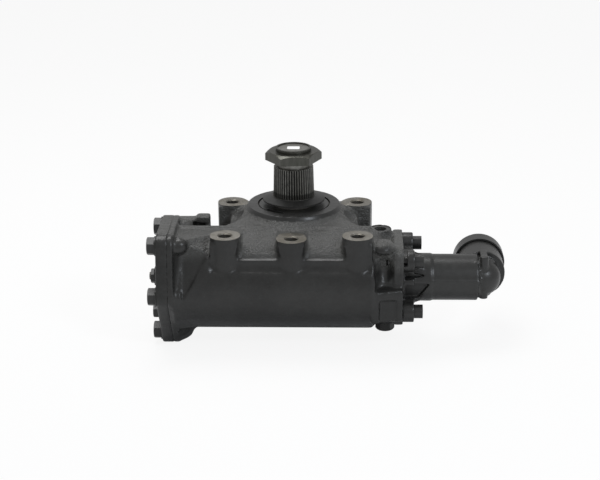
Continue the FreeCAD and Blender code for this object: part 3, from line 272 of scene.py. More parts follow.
# %% Helpers for finishes
def finish(name, metallic=0.0):
    """A new material, its principled shader and its object coordinates."""
    made = bpy.data.materials.new(name)
    made.use_nodes = True
    tree = made.node_tree
    shader = tree.nodes["Principled BSDF"]
    shader.inputs["Metallic"].default_value = metallic
    shader.inputs["Specular IOR Level"].default_value = 0.5 if metallic else 0.4
    place = Wire(tree, tree.nodes.new("ShaderNodeTexCoord").outputs["Object"])
    return made, shader, place


def noise(place, scale, detail=3.0, roughness=0.5):
    values = {"Vector": place, "Scale": scale, "Detail": detail, "Roughness": roughness}
    return place.node("ShaderNodeTexNoise", values)


def feed(shader, **wires):
    """Link wires to the shader's sockets, whose names are given with underlines."""
    for name, wire in wires.items():
        wire.tree.links.new(wire.socket, shader.inputs[name.replace("_", " ")])


def bumped(height, distance):
    """A normal that follows this height, where 1 stands for the distance in metres."""
    return height.node("ShaderNodeBump", {"Height": height, "Distance": distance, "Strength": 1.0})


print("helpers:", finish.__name__, noise.__name__, feed.__name__, bumped.__name__)


# %% [markdown]
# ## Paint
# The casting, its bolts and its covers were painted together, so one satin black paint runs over
# all of them. Sand-cast iron shows through paint as a fine grain with a coarser unevenness under it.
# Two noises give both grains. A third, broad one fades them in and out, as the hand of a painter
# does, and a few specks of dust lie on top. On the upper faces behind the front face the grain is
# coarser and the colour is lighter: that lighter colour is painted light from above.

# %% Satin black paint
PATCH_SCALE = 18.0
COARSE_SCALE = 130.0
FINE_SCALE = 420.0
DUST_SCALE = 900.0
DUST = (0.07, 0.07, 0.067, 1)
# The lighter colour of the upper faces is painted light from above; the two ranges below mark those faces
PAINTED_TOP_LIGHT = (0.075, 0.075, 0.071, 1)
SAND_AND_LIGHT_HEIGHTS = (-0.074, -0.060)
SAND_AND_LIGHT_FRONT = (-0.1175, -0.109)


def paint(name, dark, light, grain, rough, rough_sand_and_top_light=False):
    """Satin black paint over cast iron; grain is the height of its texture in metres.

    With the last argument true, the hollows between the bosses and the other upper faces behind the
    front face show the coarse sand of their core, and a lighter colour there is painted light from above.
    """
    made, shader, place = finish(name)
    patches = noise(place, PATCH_SCALE, 2.0).smooth(0.35, 0.7)
    fine = noise(place, FINE_SCALE, 4.0, 0.6)
    coarse = noise(place, COARSE_SCALE, 3.0, 0.55)
    dust = noise(place, DUST_SCALE, 2.0).smooth(0.58, 0.75)
    colour = (patches * 0.6 + coarse.smooth(0.3, 0.8) * 0.4).mix(dark, light)
    colour = (dust * 0.22).mix(colour, DUST)
    height = fine * 0.55 + coarse * (patches * 0.9 + 0.35)
    if rough_sand_and_top_light:
        across, upwards = place.axes()[1:]
        # Painted light: the upper faces behind the front face take a lighter colour, as if lit from above,
        # and a coarser grain
        sand_and_top_light = upwards.smooth(*SAND_AND_LIGHT_HEIGHTS) * across.smooth(*SAND_AND_LIGHT_FRONT)
        colour = (sand_and_top_light * 0.6).mix(colour, PAINTED_TOP_LIGHT)
        height = height * (sand_and_top_light * 2.2 + 0.5)
    else:
        height = height * 0.5
    feed(shader, Base_Color=colour, Roughness=fine * 0.16 + coarse * 0.14 + (rough - 0.15),
         Normal=bumped(height, grain))
    return made


CAST_PAINT = paint("cast_paint", (0.011, 0.011, 0.0105, 1), (0.022, 0.022, 0.021, 1), 0.0009, 0.33, True)
SMOOTH_PAINT = paint("smooth_paint", (0.014, 0.014, 0.0135, 1), (0.026, 0.026, 0.025, 1), 0.00008, 0.34)
print("paints:", CAST_PAINT.name, SMOOTH_PAINT.name)


# %% [markdown]
# ## Milled faces
# The faces milled after painting are bare: grey steel with the fine lines of the cutter in it and a
# few brown stains of oil. A sine of the place across the cut draws the lines, bent by some noise.

# %% Milled steel
LINES_PER_METRE = 9000.0


def milled(name, colour, rough=0.34):
    """Bare steel with the straight marks of the cutter along X."""
    made, shader, place = finish(name, metallic=1.0)
    grain = noise(place, 260.0)
    lines = (place.axes()[1] * LINES_PER_METRE + grain * 3.0).math("SINE")
    stain = noise(place, 60.0).smooth(0.4, 0.75)
    red, green, blue, alpha = colour
    pale = (red * 1.15, green * 1.15, blue * 1.15, alpha)
    dull = (red * 0.72, green * 0.68, blue * 0.62, alpha)
    feed(shader, Base_Color=(stain * 0.7).mix(pale, dull), Roughness=stain * 0.18 + lines * 0.03 + rough,
         Normal=bumped(lines + grain, 0.00004))
    return made


BOSS_STEEL = milled("boss_steel", (0.17, 0.161, 0.142, 1))
BORE_STEEL = milled("bore_steel", (0.22, 0.215, 0.2, 1), 0.4)
print("milled finishes:", BOSS_STEEL.name, BORE_STEEL.name)


# %% [markdown]
# ## The serrated taper
# The teeth on the sector shaft's taper are bright on their tips and dark in their roots; the dark
# in the roots is painted shade. The depth of a point under the cone of the tips gives the mask for
# the painted shade, so it sits on the teeth themselves. A dirty band runs round the foot.

# %% Steel with painted shade in its roots
TAPER_RADIUS = 0.02725
TAPER_SLOPE = 0.025
TAPER_FOOT = (-0.0005, 0.0)
TAPER_TOP = (0.0395, 0.0400)
# How deep under the tips the painted shade in the roots fades in
ROOT_SHADE_DEPTH = (0.0001, 0.0008)
DIRTY_FOOT = (0.0055, 0.0075)


def serrated(name, dark, light):
    """Phosphated steel with painted shade in the roots of its serrations, and a dirty band at the foot."""
    made, shader, place = finish(name, metallic=1.0)
    along, across, height = place.axes()
    radius = (along * along + across * across).math("SQRT")
    depth = TAPER_RADIUS - height * TAPER_SLOPE - radius
    # Painted shade in the roots of the teeth, between the foot and the top of the taper
    root_shade = depth.smooth(*ROOT_SHADE_DEPTH) * height.smooth(*TAPER_FOOT) * (1 - height.smooth(*TAPER_TOP))
    foot = (1 - height.smooth(*DIRTY_FOOT)) * height.smooth(*TAPER_FOOT)
    cloud = noise(place, 160.0, 4.0)
    red, green, blue, alpha = light
    colour = cloud.smooth(0.35, 0.75).mix(light, (red * 0.7, green * 0.7, blue * 0.7, alpha))
    colour = (root_shade * 0.9).mix(colour, dark)
    colour = (foot * 0.6).mix(colour, dark)
    feed(shader, Base_Color=colour, Roughness=cloud * 0.2 + foot * 0.15 + 0.3,
         Normal=bumped(noise(place, 500.0), 0.00003))
    return made


SERRATED_STEEL = serrated("serrated_steel", (0.012, 0.012, 0.011, 1), (0.24, 0.237, 0.22, 1))
print("serrated finish:", SERRATED_STEEL.name)


# %% [markdown]
# ## Oiled steel
# The nut, the screws and the input shaft are phosphated almost black and wiped with oil. The oil
# runs down the shaft, so the noise is stretched along Z. The dust cover disc has the same streaks,
# but it is painted, so it isn't metallic.

# %% Dark phosphated steel
def oiled(name, dark, light, rough=0.36, metallic=1.0):
    """Dark phosphated steel with a film of oil, streaked along the shaft."""
    made, shader, place = finish(name, metallic)
    stretched = place.node("ShaderNodeMapping", {"Vector": place, "Scale": (1.0, 1.0, 0.15)})
    streak = noise(stretched, 300.0, 4.0)
    cloud = noise(place, 70.0)
    colour = (streak.smooth(0.35, 0.7) * 0.6 + cloud.smooth(0.4, 0.7) * 0.4).mix(dark, light)
    feed(shader, Base_Color=colour, Roughness=cloud * 0.25 + (rough - 0.1),
         Normal=bumped(streak + cloud, 0.00005))
    return made


SHAFT_STEEL = oiled("shaft_steel", (0.045, 0.045, 0.04, 1), (0.14, 0.138, 0.125, 1))
NUT_STEEL = oiled("nut_steel", (0.07, 0.07, 0.061, 1), (0.1, 0.099, 0.089, 1))
DISC_PAINT = oiled("disc_paint", (0.01, 0.01, 0.0095, 1), (0.018, 0.018, 0.017, 1), 0.4, 0.0)
print("oiled finishes:", SHAFT_STEEL.name, NUT_STEEL.name, DISC_PAINT.name)


# %% [markdown]
# ## Rubber, ground steel and card
# The seals are matt rubber with a fine grain. Gears and bearings inside are ground bright and
# clouded with oil. The label is white card with a faint fibre. One or two noises for each are enough,
# because these pieces are small or hidden.

# %% Finishes of the small and hidden pieces
def rubber(name):
    made, shader, place = finish(name)
    grain = noise(place, 700.0)
    feed(shader, Base_Color=grain.smooth(0.3, 0.8).mix((0.012, 0.012, 0.012, 1), (0.03, 0.03, 0.03, 1)),
         Roughness=grain * 0.2 + 0.6, Normal=bumped(grain, 0.00005))
    return made


def ground_steel(name, colour, rough=0.22):
    """Gear and bearing steel, ground and slightly clouded with oil."""
    made, shader, place = finish(name, metallic=1.0)
    cloud = noise(place, 90.0, 4.0)
    red, green, blue, alpha = colour
    brown = (red * 0.8, green * 0.74, blue * 0.64, alpha)
    feed(shader, Base_Color=cloud.smooth(0.35, 0.75).mix(colour, brown),
         Roughness=cloud * 0.2 + rough - 0.1, Normal=bumped(noise(place, 900.0, 2.0), 0.00002))
    return made


def card(name):
    """White label stock with a faint fibre and a soft stain."""
    made, shader, place = finish(name)
    fibre = noise(place, 1500.0)
    stain = noise(place, 120.0, 2.0).smooth(0.5, 0.8)
    feed(shader, Base_Color=(stain * 0.4).mix((0.84, 0.84, 0.83, 1), (0.6, 0.58, 0.54, 1)),
         Roughness=fibre * 0.2 + 0.4, Normal=bumped(fibre, 0.00003))
    return made


RUBBER = rubber("rubber")
GEAR_STEEL = ground_steel("gear_steel", (0.46, 0.45, 0.43, 1))
BEARING_STEEL = ground_steel("bearing_steel", (0.56, 0.56, 0.55, 1), 0.16)
LABEL = card("label_card")
print("materials:", len(bpy.data.materials))


# %% [markdown]
# ## Shapes for plugs and tools
# Plugs that fill a hole and tools that cut one are plain closed shapes: turned, boxed, ball-shaped
# or the hull of a few points. Their sizes are in millimetres, as on a drawing.

# %% Turned, boxed and hulled shapes
RIGHT_ANGLE = math.pi / 2
TO_AXIS = {
    "X": Matrix.Rotation(RIGHT_ANGLE, 4, "Y"),
    "Y": Matrix.Rotation(-RIGHT_ANGLE, 4, "X"),
    "Z": Matrix(),
}
WELD = 1e-6
ROUND_STEPS = 128
HOLE_STEPS = 48


def turn(bm, profile, axis, centre, steps=96):
    """Turn an outline of (radius, height) points round a line through the centre."""
    matrix = Matrix.Translation(Vector(centre) * MM) @ TO_AXIS[axis]
    verts = [bm.verts.new(matrix @ Vector((r * MM, 0, h * MM))) for r, h in profile]
    edges = [bm.edges.new(pair) for pair in zip(verts, verts[1:])]
    direction = matrix.to_3x3() @ Vector((0, 0, 1))
    bmesh.ops.spin(bm, geom=verts + edges, cent=matrix.translation, axis=direction, angle=2 * math.pi,
                   steps=steps, use_merge=True)


def rod(bm, axis, centre, radius, start, end, steps=96):
    turn(bm, [(0, start), (radius, start), (radius, end), (0, end)], axis, centre, steps)


def box(bm, low, high):
    """A closed box between two corners."""
    size = Vector(high) - Vector(low)
    matrix = Matrix.Translation((Vector(high) + Vector(low)) * MM / 2) @ Matrix.Diagonal(size * MM).to_4x4()
    bmesh.ops.create_cube(bm, size=1.0, matrix=matrix)


def ball(bm, centre, radius, stretch=(1, 1, 1)):
    matrix = Matrix.Translation(Vector(centre) * MM) @ Matrix.Diagonal(Vector(stretch)).to_4x4()
    bmesh.ops.create_uvsphere(bm, u_segments=40, v_segments=20, radius=radius * MM, matrix=matrix)


def hull(bm, *points):
    """The convex solid round some points."""
    verts = [bm.verts.new(Vector(point) * MM) for point in points]
    spare = bmesh.ops.convex_hull(bm, input=verts)["geom_unused"]
    bmesh.ops.delete(bm, geom=[g for g in spare if isinstance(g, bmesh.types.BMVert)], context="VERTS")


def closed(bm):
    """Weld the seams of turned shapes and point all faces outwards."""
    bmesh.ops.remove_doubles(bm, verts=bm.verts, dist=WELD)
    bmesh.ops.recalc_face_normals(bm, faces=bm.faces)


SHAPES = {"turn": turn, "rod": rod, "box": box, "ball": ball, "hull": hull}
print("shapes:", list(SHAPES))


# %% [markdown]
# ## Objects and modifiers
# A modifier is worked into its mesh at once, so that the next step starts from plain geometry.
# Several tools are cut one after the other. Tools in one group mustn't overlap each other, because
# the fast solver takes each group for one clean solid.

# %% Working modifiers in
def settled(obj):
    """The object's mesh with its modifiers worked in."""
    bpy.context.view_layer.update()
    graph = bpy.context.evaluated_depsgraph_get()
    mesh = bpy.data.meshes.new_from_object(obj.evaluated_get(graph))
    obj.modifiers.clear()
    old = obj.data
    obj.data = mesh
    bpy.data.meshes.remove(old)
    return mesh


def linked(name, bm):
    """A new object at the origin that holds this mesh."""
    mesh = bpy.data.meshes.new(name)
    bm.to_mesh(mesh)
    bm.free()
    made = bpy.data.objects.new(name, mesh)
    scene.collection.objects.link(made)
    return made


def add_cut(obj, tool):
    """Queue a Boolean that takes the tool out of the object."""
    cut = obj.modifiers.new("cut", "BOOLEAN")
    cut.operation = "DIFFERENCE"
    cut.solver = "MANIFOLD"
    cut.object = tool


def cut_with(obj, cutters):
    """Take groups of closed tools out of the object, one group after the other."""
    tools = []
    for number, shapes in enumerate(cutters):
        bm = bmesh.new()
        for kind, *values in shapes:
            SHAPES[kind](bm, *values)
        closed(bm)
        tools.append(linked("tool_%d" % number, bm))
        add_cut(obj, tools[-1])
    mesh = settled(obj)
    for tool in tools:
        bpy.data.meshes.remove(tool.data)
    return mesh


# %% [markdown]
# ## From CAD to casting
# Nothing on a sand casting has a sharp edge until a cutter has been over it. So each casting is made
# here as the foundry makes it. The CAD solid gets its holes filled and a few millimetres of stock on
# the faces that will be milled, and then it is remeshed and smoothed, which rounds every corner like
# a cast fillet. After that the same faces, bores and holes are cut again with crisp tools. A Bevel
# modifier would be quicker, but it fails where so many fillets of different sizes meet.

# %% Casting and machining
FACE_TOLERANCE = 0.00005
SHARP_ANGLE = math.radians(32)


def add_stock(bm, faces_to_mill):
    """Thicken the solid on its milled faces, each given as (axis, level, outwards, allowance)."""
    for axis, plane, outwards, allowance in faces_to_mill:
        index = "XYZ".index(axis)
        bm.normal_update()
        chosen = [f for f in bm.faces if f.normal[index] * outwards > 0.99
                  and abs(f.calc_center_median()[index] - plane * MM) < FACE_TOLERANCE]
        grown = bmesh.ops.extrude_face_region(bm, geom=chosen)["geom"]
        shift = Vector((0, 0, 0))
        shift[index] = outwards * allowance * MM
        bmesh.ops.delete(bm, geom=chosen, context="FACES")
        bmesh.ops.translate(bm, verts=[g for g in grown if isinstance(g, bmesh.types.BMVert)], vec=shift)


def remesh(obj, voxel):
    step = obj.modifiers.new("remesh", "REMESH")
    step.mode = "VOXEL"
    step.voxel_size = voxel * MM
    settled(obj)


def cast(name, node, plugs, stock, voxel, smoothing, triangles, added=(), carved=()):
    """A rounded casting with its holes filled, from a CAD node with a few forms added and carved."""
    bm = bmesh.new()
    bm.from_mesh(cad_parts[node].data)
    bmesh.ops.remove_doubles(bm, verts=bm.verts, dist=WELD)
    add_stock(bm, stock)
    for plug in plugs:
        rod(bm, *plug, steps=HOLE_STEPS)
    for kind, *values in added:
        SHAPES[kind](bm, *values)
    closed(bm)
    made = linked(name, bm)
    remesh(made, voxel)
    if carved:
        cut_with(made, carved)
        remesh(made, voxel)
    soften = made.modifiers.new("soften", "SMOOTH")
    soften.factor = 0.5
    soften.iterations = smoothing
    mesh = settled(made)
    thin = made.modifiers.new("thin", "DECIMATE")
    thin.ratio = min(1.0, triangles / (2 * len(mesh.polygons)))
    mesh = settled(made)
    print(name, "cast with", len(mesh.polygons), "faces")
    return made


def machine(obj, cutters):
    """Machine a casting, and keep the tools' edges crisp."""
    mesh = cut_with(obj, cutters)
    mesh.shade_smooth()
    mesh.set_sharp_from_angle(angle=SHARP_ANGLE)
    print(obj.name, "machined to", len(mesh.polygons), "faces")


def dress(obj, materials, choose):
    """Give the object these materials; choose(centre in mm, normal) says which one a face takes."""
    mesh = obj.data
    mesh.materials.clear()
    for material in materials:
        mesh.materials.append(material)
    for face in mesh.polygons:
        face.material_index = choose(face.center / MM, face.normal)


print("edges stay sharp above", round(math.degrees(SHARP_ANGLE)), "degrees")


# %% [markdown]
# ## Where things are on the housing
# The planes, axes and holes below are those of the packed model, in millimetres. Each axis is a
# point that its line goes through, and each hole is given by the two coordinates across its line.

# %% Axes, planes and holes
WORM = (0, -63.0, -93.5)
SHAFT = (0, 0, 0)
PORT = (115.0, -40.0, 0)
REAR_PORT = (115.0, 0, -93.5)
PLUG = (122.0, -63.0, 0)
FLANGE_X = -158.0
RIM_X = 144.0
HUB_TOP = -12.0
BASE = -154.0
PORT_TOP = -35.0
REAR_PORT_FACE = -1.0
BOSS_TOP = -22.0
LOW_BOSS_TOP = -26.0
BOSS_DEPTH = 36.0

BOSSES = [(-85.0, -104.5, BOSS_TOP), (0.0, -104.5, LOW_BOSS_TOP), (85.0, -104.5, BOSS_TOP),
          (-85.0, 35.0, BOSS_TOP), (85.0, 35.0, BOSS_TOP)]
COVER_BOLTS = [(-127.0, -98.0), (-79.0, -163.5), (-17.0, -141.5), (-1.0, -85.5), (-36.0, -33.5),
               (-115.0, -33.0)]
RIM_SCREWS = [(-98.0, -128.5), (-98.0, -58.5), (-28.0, -58.5), (-28.0, -128.5)]
SIDE_CIRCLE = 39.5
SIDE_ANGLES = [math.pi * i / 3 for i in range(6)]
SIDE_BOLTS = [(SIDE_CIRCLE * math.cos(angle), SIDE_CIRCLE * math.sin(angle)) for angle in SIDE_ANGLES]
print("bosses:", len(BOSSES), "bolts:", len(COVER_BOLTS) + len(RIM_SCREWS) + len(SIDE_BOLTS))


# %% [markdown]
# ## Plugs and stock of the housing
# Every bore and hole is plugged by a rod a little wider than itself. The faces that will be milled
# get stock: three millimetres on the bosses, as a foundry leaves. Where the housing meets a cover,
# only a little stock is left, so that the two rounded edges leave the narrow groove that shows in
# the photograph as a dark line.

# %% Fill the holes, thicken the milled faces
plugs = [
    ("X", WORM, 52.5, FLANGE_X, 100.5),
    ("X", WORM, 24.5, 99.0, RIM_X),
    ("Z", SHAFT, 49.5, -45.0, HUB_TOP),
    ("Z", SHAFT, 43.5, -133.5, -43.0),
    ("Z", SHAFT, 31.5, BASE, -132.0),
    ("Z", PORT, 8.75, -60.0, PORT_TOP),
    ("Y", REAR_PORT, 8.75, -30.0, REAR_PORT_FACE),
    ("Z", PLUG, 7.5, -157.0, -90.0),
]
plugs += [("Z", (x, y, 0), 9.9, z - BOSS_DEPTH, z) for x, y, z in BOSSES]
plugs += [("X", (0, y, z), 7.5, FLANGE_X, FLANGE_X + 23.0) for y, z in COVER_BOLTS]
plugs += [("X", (0, y, z), 6.5, RIM_X - 23.0, RIM_X) for y, z in RIM_SCREWS]
plugs += [("Z", (x, y, 0), 5.5, BASE, -140.0) for x, y in SIDE_BOLTS]
stock = [
    ("Z", BOSS_TOP, 1, 3.0),
    ("Z", LOW_BOSS_TOP, 1, 3.0),
    ("Z", HUB_TOP, 1, 0.8),
    ("Z", PORT_TOP, 1, 2.0),
    ("Y", REAR_PORT_FACE, 1, 2.0),
    ("X", FLANGE_X, -1, 0.7),
    ("X", RIM_X, 1, 0.7),
    ("Z", BASE, -1, 2.0),
]
print("plugs:", len(plugs), "milled planes:", len(stock))


# %% [markdown]
# ## Skirt, arms and pockets
# On the real casting a skirt flows down from the hub, and two broad arms run from it to the outer
# front bosses, with a pocket between each pair of bosses. These forms are turned and hulled here and
# joined to the solid before it is remeshed, so that they get the same soft fillets. Stretched balls
# scoop the hollows behind and between the bosses.

# %% Forms round the hub
SKIRT = [(0, -60), (86, -60), (86, -33), (78, -27.5), (70, -22.5), (65, -18.5), (62, -15), (0, -15)]
ARM_TOP = [(30, -52, -22), (58, -25, -21), (72, -88, -27.5), (104, -66, -28)]
ARM_BOTTOM = -50
POCKET_X = 42.5
POCKET_HALF = 19
GROOVE_HALF = 15
STEP = [(-118.9, -59), (-122.6, -68), (-108, -68), (-108, -59)]

added = [("turn", SKIRT, "Z", SHAFT, 96)]
scoops = []
grooves = []
for side in (-1, 1):
    arm = ARM_TOP + [(x, y, ARM_BOTTOM) for x, y, z in ARM_TOP]
    added.append(("hull", *[(side * x, y, z) for x, y, z in arm]))
    middle = side * POCKET_X
    added.append(("box", (middle - POCKET_HALF, -96, -53), (middle + POCKET_HALF, -85, -48.4)))
    scoops.append(("ball", (side * 88, -10, -20), 1.0, (21, 20, 18)))
    grooves.append(("rod", "X", (0, -87.5, -48.6), 1.8, middle - GROOVE_HALF, middle + GROOVE_HALF, 24))
scoops.append(("ball", (0, -88, -14), 1.0, (22, 25, 11.5)))
# The skirt is trimmed behind the hub, where the CAD solid ends
scoops.append(("box", (-100, 75.3, -70), (100, 100, 0)))
carved = [scoops, grooves]
# A step runs along the cylinder below the front bosses
added.append(("hull", *[(x, y, z) for x in (-103, 103) for y, z in STEP]))
print("forms added:", len(added), "groups carved:", len(carved))


# %% [markdown]
# ## The dish at the left
# Between the flange and the first boss the casting dips in a shallow dish with a slanting floor. The
# room behind the dish is filled with the hull of its outline, and the same outline, drawn out to
# the front, is then the tool that carves it. One outline for both keeps its walls even.

# %% Fill and carve the dish
DISH = [(-105, -119.5, -48), (-124, -125, -69), (-150.5, -136, -103), (-150.5, -112, -46), (-104, -108, -32)]
DISH_BACK = -95
DISH_FRONT = -160
FLANGE_FILLET_X = -141

added.append(("hull", *DISH, *[(x, DISH_BACK, z) for x, y, z in DISH]))
# A fillet runs up into the flange
added.append(("hull", (-151, -125, -44), (-151, -108, -44), (-139, -109, -44), (-151, -139, -110),
              (-151, -128, -110), (-144, -131, -108)))
hollow = [(max(x, FLANGE_FILLET_X), y, z) for x, y, z in DISH]
carved.append([("hull", *hollow, *[(x, DISH_FRONT, z) for x, y, z in hollow])])
# The upper edge slants down from the boss to the flange
carved.append([("hull", (-104, -84, -26), (-104, -119, -50), (-104, -140, -50), (-104, -140, -10),
                (-104, -84, -10), (-133, -104, -26), (-133, -114, -36), (-133, -140, -36),
                (-133, -140, -10), (-133, -104, -10))])
print("dish from x =", DISH[2][0], "to", DISH[4][0])


# %% [markdown]
# ## The neck at the right
# Towards the bevel drive the casting narrows to a neck: a box below with a window in it, two scoops
# above it, and a lump under the open port. The scoops are stretched balls, as a pattern maker would
# cut them with a round gouge.

# %% Neck, scoops and window
NECK = [(103, -126, -94), (103, -124, -136), (143.4, -119.5, -92), (143.4, -118.5, -134),
        (103, -100, -88), (143.4, -100, -86), (103, -100, -140), (143.4, -100, -138)]

added.append(("hull", *NECK))
added.append(("ball", (118, -100, -39), 1.0, (15, 20, 9)))
carved.append([("ball", (120, -122, -66), 1.0, (13.5, 22, 24)),
               ("ball", (139.5, -122, -66), 1.0, (5.5, 12, 21))])
carved.append([("box", (113, -126, -142), (136, -117.3, -105))])
housing = cast("housing_casting", "main_housing", plugs, stock, voxel=1.7, smoothing=5, triangles=150000,
               added=added, carved=carved)


# %% [markdown]
# ## Machining the housing
# Now the casting goes through the machine shop. The bosses, the hub and both ends are milled flat,
# the two large bores are turned with their steps, and then come the ports and the screw holes. Each
# tool is the profile that the real cutter would sweep, so the edges it leaves are as crisp.

# %% Mill, bore and drill
WORM_BORE = [(0, -160), (52, -160), (52, 100), (24, 100), (24, 150), (0, 150)]
SHAFT_BORE = [(0, -156), (31, -156), (31, -137.49), (26, -137.49), (26, -132.49), (43, -132.49), (43, -43.5),
              (48.5, -43.5), (48.5, -17), (50.3, -17), (50.3, -15), (48.5, -15), (48.5, -8), (0, -8)]
PORT_BORE = [(0, -93.5), (5, -93.5), (5, -51), (8.25, -51), (8.25, -33), (0, -33)]
REAR_PORT_BORE = [(0, -63), (5, -63), (5, -17), (8.25, -17), (8.25, 1), (0, 1)]
BOSS_CUTTER, HUB_CUTTER, BASE_CUTTER, PORT_CUTTER = 24.0, 70.0, 49.0, 14.0
COVER_HOLE, RIM_HOLE, SIDE_HOLE, PLUG_HOLE, MOUNT_HOLE = 7.0, 6.0, 5.0, 7.0, 8.25
CHAMFER = 1.5


def slab(start, end):
    """A box across the whole part, which mills off everything between two planes in X."""
    return ("box", (start, -200, -220), (end, 60, 20))


mount_holes = []
for x, y, z in BOSSES:
    drill = [(0, -56.0), (MOUNT_HOLE, -52.0), (MOUNT_HOLE, z - CHAMFER), (MOUNT_HOLE + CHAMFER, z),
             (MOUNT_HOLE + CHAMFER, z + 3), (0, z + 3)]
    mount_holes.append(("turn", drill, "Z", (x, y, 0), 64))
machine(housing, [
    [("rod", "Z", (x, y, 0), BOSS_CUTTER, z, z + 12.0) for x, y, z in BOSSES],
    [("rod", "Z", SHAFT, HUB_CUTTER, HUB_TOP, 5.0)],
    [slab(-190, FLANGE_X)],
    [slab(RIM_X, 180)],
    [("rod", "Z", SHAFT, BASE_CUTTER, -175.0, BASE)],
    [("rod", "Z", PORT, PORT_CUTTER, PORT_TOP, -15.0)],
    [("rod", "Y", REAR_PORT, PORT_CUTTER, REAR_PORT_FACE, 19.0)],
    [("turn", WORM_BORE, "X", WORM, ROUND_STEPS)],
    [("turn", SHAFT_BORE, "Z", SHAFT, ROUND_STEPS)],
    mount_holes,
    [("rod", "X", (0, y, z), COVER_HOLE, FLANGE_X - 2, FLANGE_X + 22, HOLE_STEPS) for y, z in COVER_BOLTS],
    [("rod", "X", (0, y, z), RIM_HOLE, RIM_X - 22, RIM_X + 2, HOLE_STEPS) for y, z in RIM_SCREWS],
    [("rod", "Z", (x, y, 0), SIDE_HOLE, -156.0, -141.0, HOLE_STEPS) for x, y in SIDE_BOLTS],
    [("turn", PORT_BORE, "Z", PORT, HOLE_STEPS)],
    [("turn", REAR_PORT_BORE, "Y", REAR_PORT, HOLE_STEPS)],
    [("rod", "Z", PLUG, PLUG_HOLE, -159.0, -93.5, HOLE_STEPS)],
])


# %% [markdown]
# ## Painting the housing
# The painter masked only the machined faces. So each face of the mesh takes its finish by where it
# is: bare steel on the bosses, a rougher steel in the bores, the smoother paint on the turned ring
# of the hub, and the grainy paint on all the rest.

# %% Paint and bare steel on the housing
BOSS_REACH = 20.5
HOLE_REACH = 9.9
HUB_RING_REACH = 64


def from_worm(centre):
    return math.hypot(centre.y - WORM[1], centre.z - WORM[2])


def housing_face(centre, normal):
    """1 for bare milled faces, 2 for bores, 3 for the smooth ring of the hub, 0 for painted casting."""
    x, y, z = centre
    for bx, by, bz in BOSSES:
        reach = math.hypot(x - bx, y - by)
        if reach < BOSS_REACH and abs(z - bz) < 0.05 and normal.z > 0.9:
            return 1
        if reach < HOLE_REACH and bz - BOSS_DEPTH < z < bz:
            return 1 if z > bz - CHAMFER - 0.1 else 2
    from_shaft = math.hypot(x, y)
    in_worm_bore = x < 100.1 and from_worm(centre) < 52.1 or from_worm(centre) < 24.1
    in_shaft_bore = from_shaft < 43.1 and z < -43
    if in_worm_bore or in_shaft_bore:
        return 2
    if from_shaft < HUB_RING_REACH and z > -17:
        return 3
    return 0


dress(housing, [CAST_PAINT, BOSS_STEEL, BORE_STEEL, SMOOTH_PAINT], housing_face)
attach(housing, "housing")
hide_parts("main_housing")
print("housing finishes:", [material.name for material in housing.data.materials])


# %% [markdown]
# ## End cover
# The same recipe makes the cover at the left. Its walls are thinner than the housing's, so the
# voxels are smaller. It is milled where it meets the flange and round its six bolts, and a groove
# for its seal is turned into the register that enters the cylinder.

# %% Cast and machine the end cover
COVER_FACE = -172.5
COVER_PLUG = (0, -98.0, -128.5)
REGISTER = [(51.9, FLANGE_X), (140, FLANGE_X), (140, -140), (51.9, -140), (51.9, FLANGE_X)]
COVER_RECESS = [(0, FLANGE_X), (44, FLANGE_X), (44, -140), (0, -140)]
SEAL_GROOVE = [(48.5, -153), (56, -153), (56, -149), (48.5, -149), (48.5, -153)]
BOLT_HOLE, BOLT_SEAT, LIMITER_HOLE, COVER_PLUG_HOLE = 7.5, 13.3, 5.0, 6.0

plugs = [("X", (0, y, z), 8.0, COVER_FACE, FLANGE_X) for y, z in COVER_BOLTS]
plugs += [("X", WORM, 45.0, FLANGE_X - 3, -144.0), ("X", WORM, 5.5, -183.0, -144.0)]
stock = [("X", FLANGE_X, 1, 0.7), ("X", COVER_FACE, -1, 0.1)]
cover = cast("end_cover_casting", "end_cover", plugs, stock, voxel=1.2, smoothing=6, triangles=60000)
machine(cover, [
    [("turn", REGISTER, "X", WORM, ROUND_STEPS)],
    [("turn", COVER_RECESS, "X", WORM, 96)],
    [("turn", SEAL_GROOVE, "X", WORM, ROUND_STEPS)],
    [("rod", "X", (0, y, z), BOLT_HOLE, COVER_FACE - 2, FLANGE_X + 2, HOLE_STEPS) for y, z in COVER_BOLTS],
    [("rod", "X", WORM, LIMITER_HOLE, -190.0, FLANGE_X + 2, HOLE_STEPS)],
    [("rod", "X", COVER_PLUG, COVER_PLUG_HOLE, COVER_FACE - 2, -160.0, HOLE_STEPS)],
    [("rod", "X", (0, y, z), BOLT_SEAT, COVER_FACE - 4, COVER_FACE, HOLE_STEPS) for y, z in COVER_BOLTS],
])
dress(cover, [CAST_PAINT, BORE_STEEL], lambda centre, normal: 1 if centre.x > FLANGE_X + 0.2 else 0)
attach(cover, "housing")
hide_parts("end_cover")
print("cover face at x =", COVER_FACE)


# %% [markdown]
# ## Bevel drive: casting
# The drive's housing is a tube along the worm that meets a barrel across it in a mitred elbow. A
# ball rounds the elbow, a column stands on it, and two thin ribs run along the tube. The flange has
# a recess above and one below between its screws, where the real casting saves iron.

# %% Cast the bevel drive
DRIVE = (249.0, 0, -93.5)
CORNER = (249.0, -63.0, -93.5)
DRIVE_FACE = 158.0
BARREL_END = 4.0

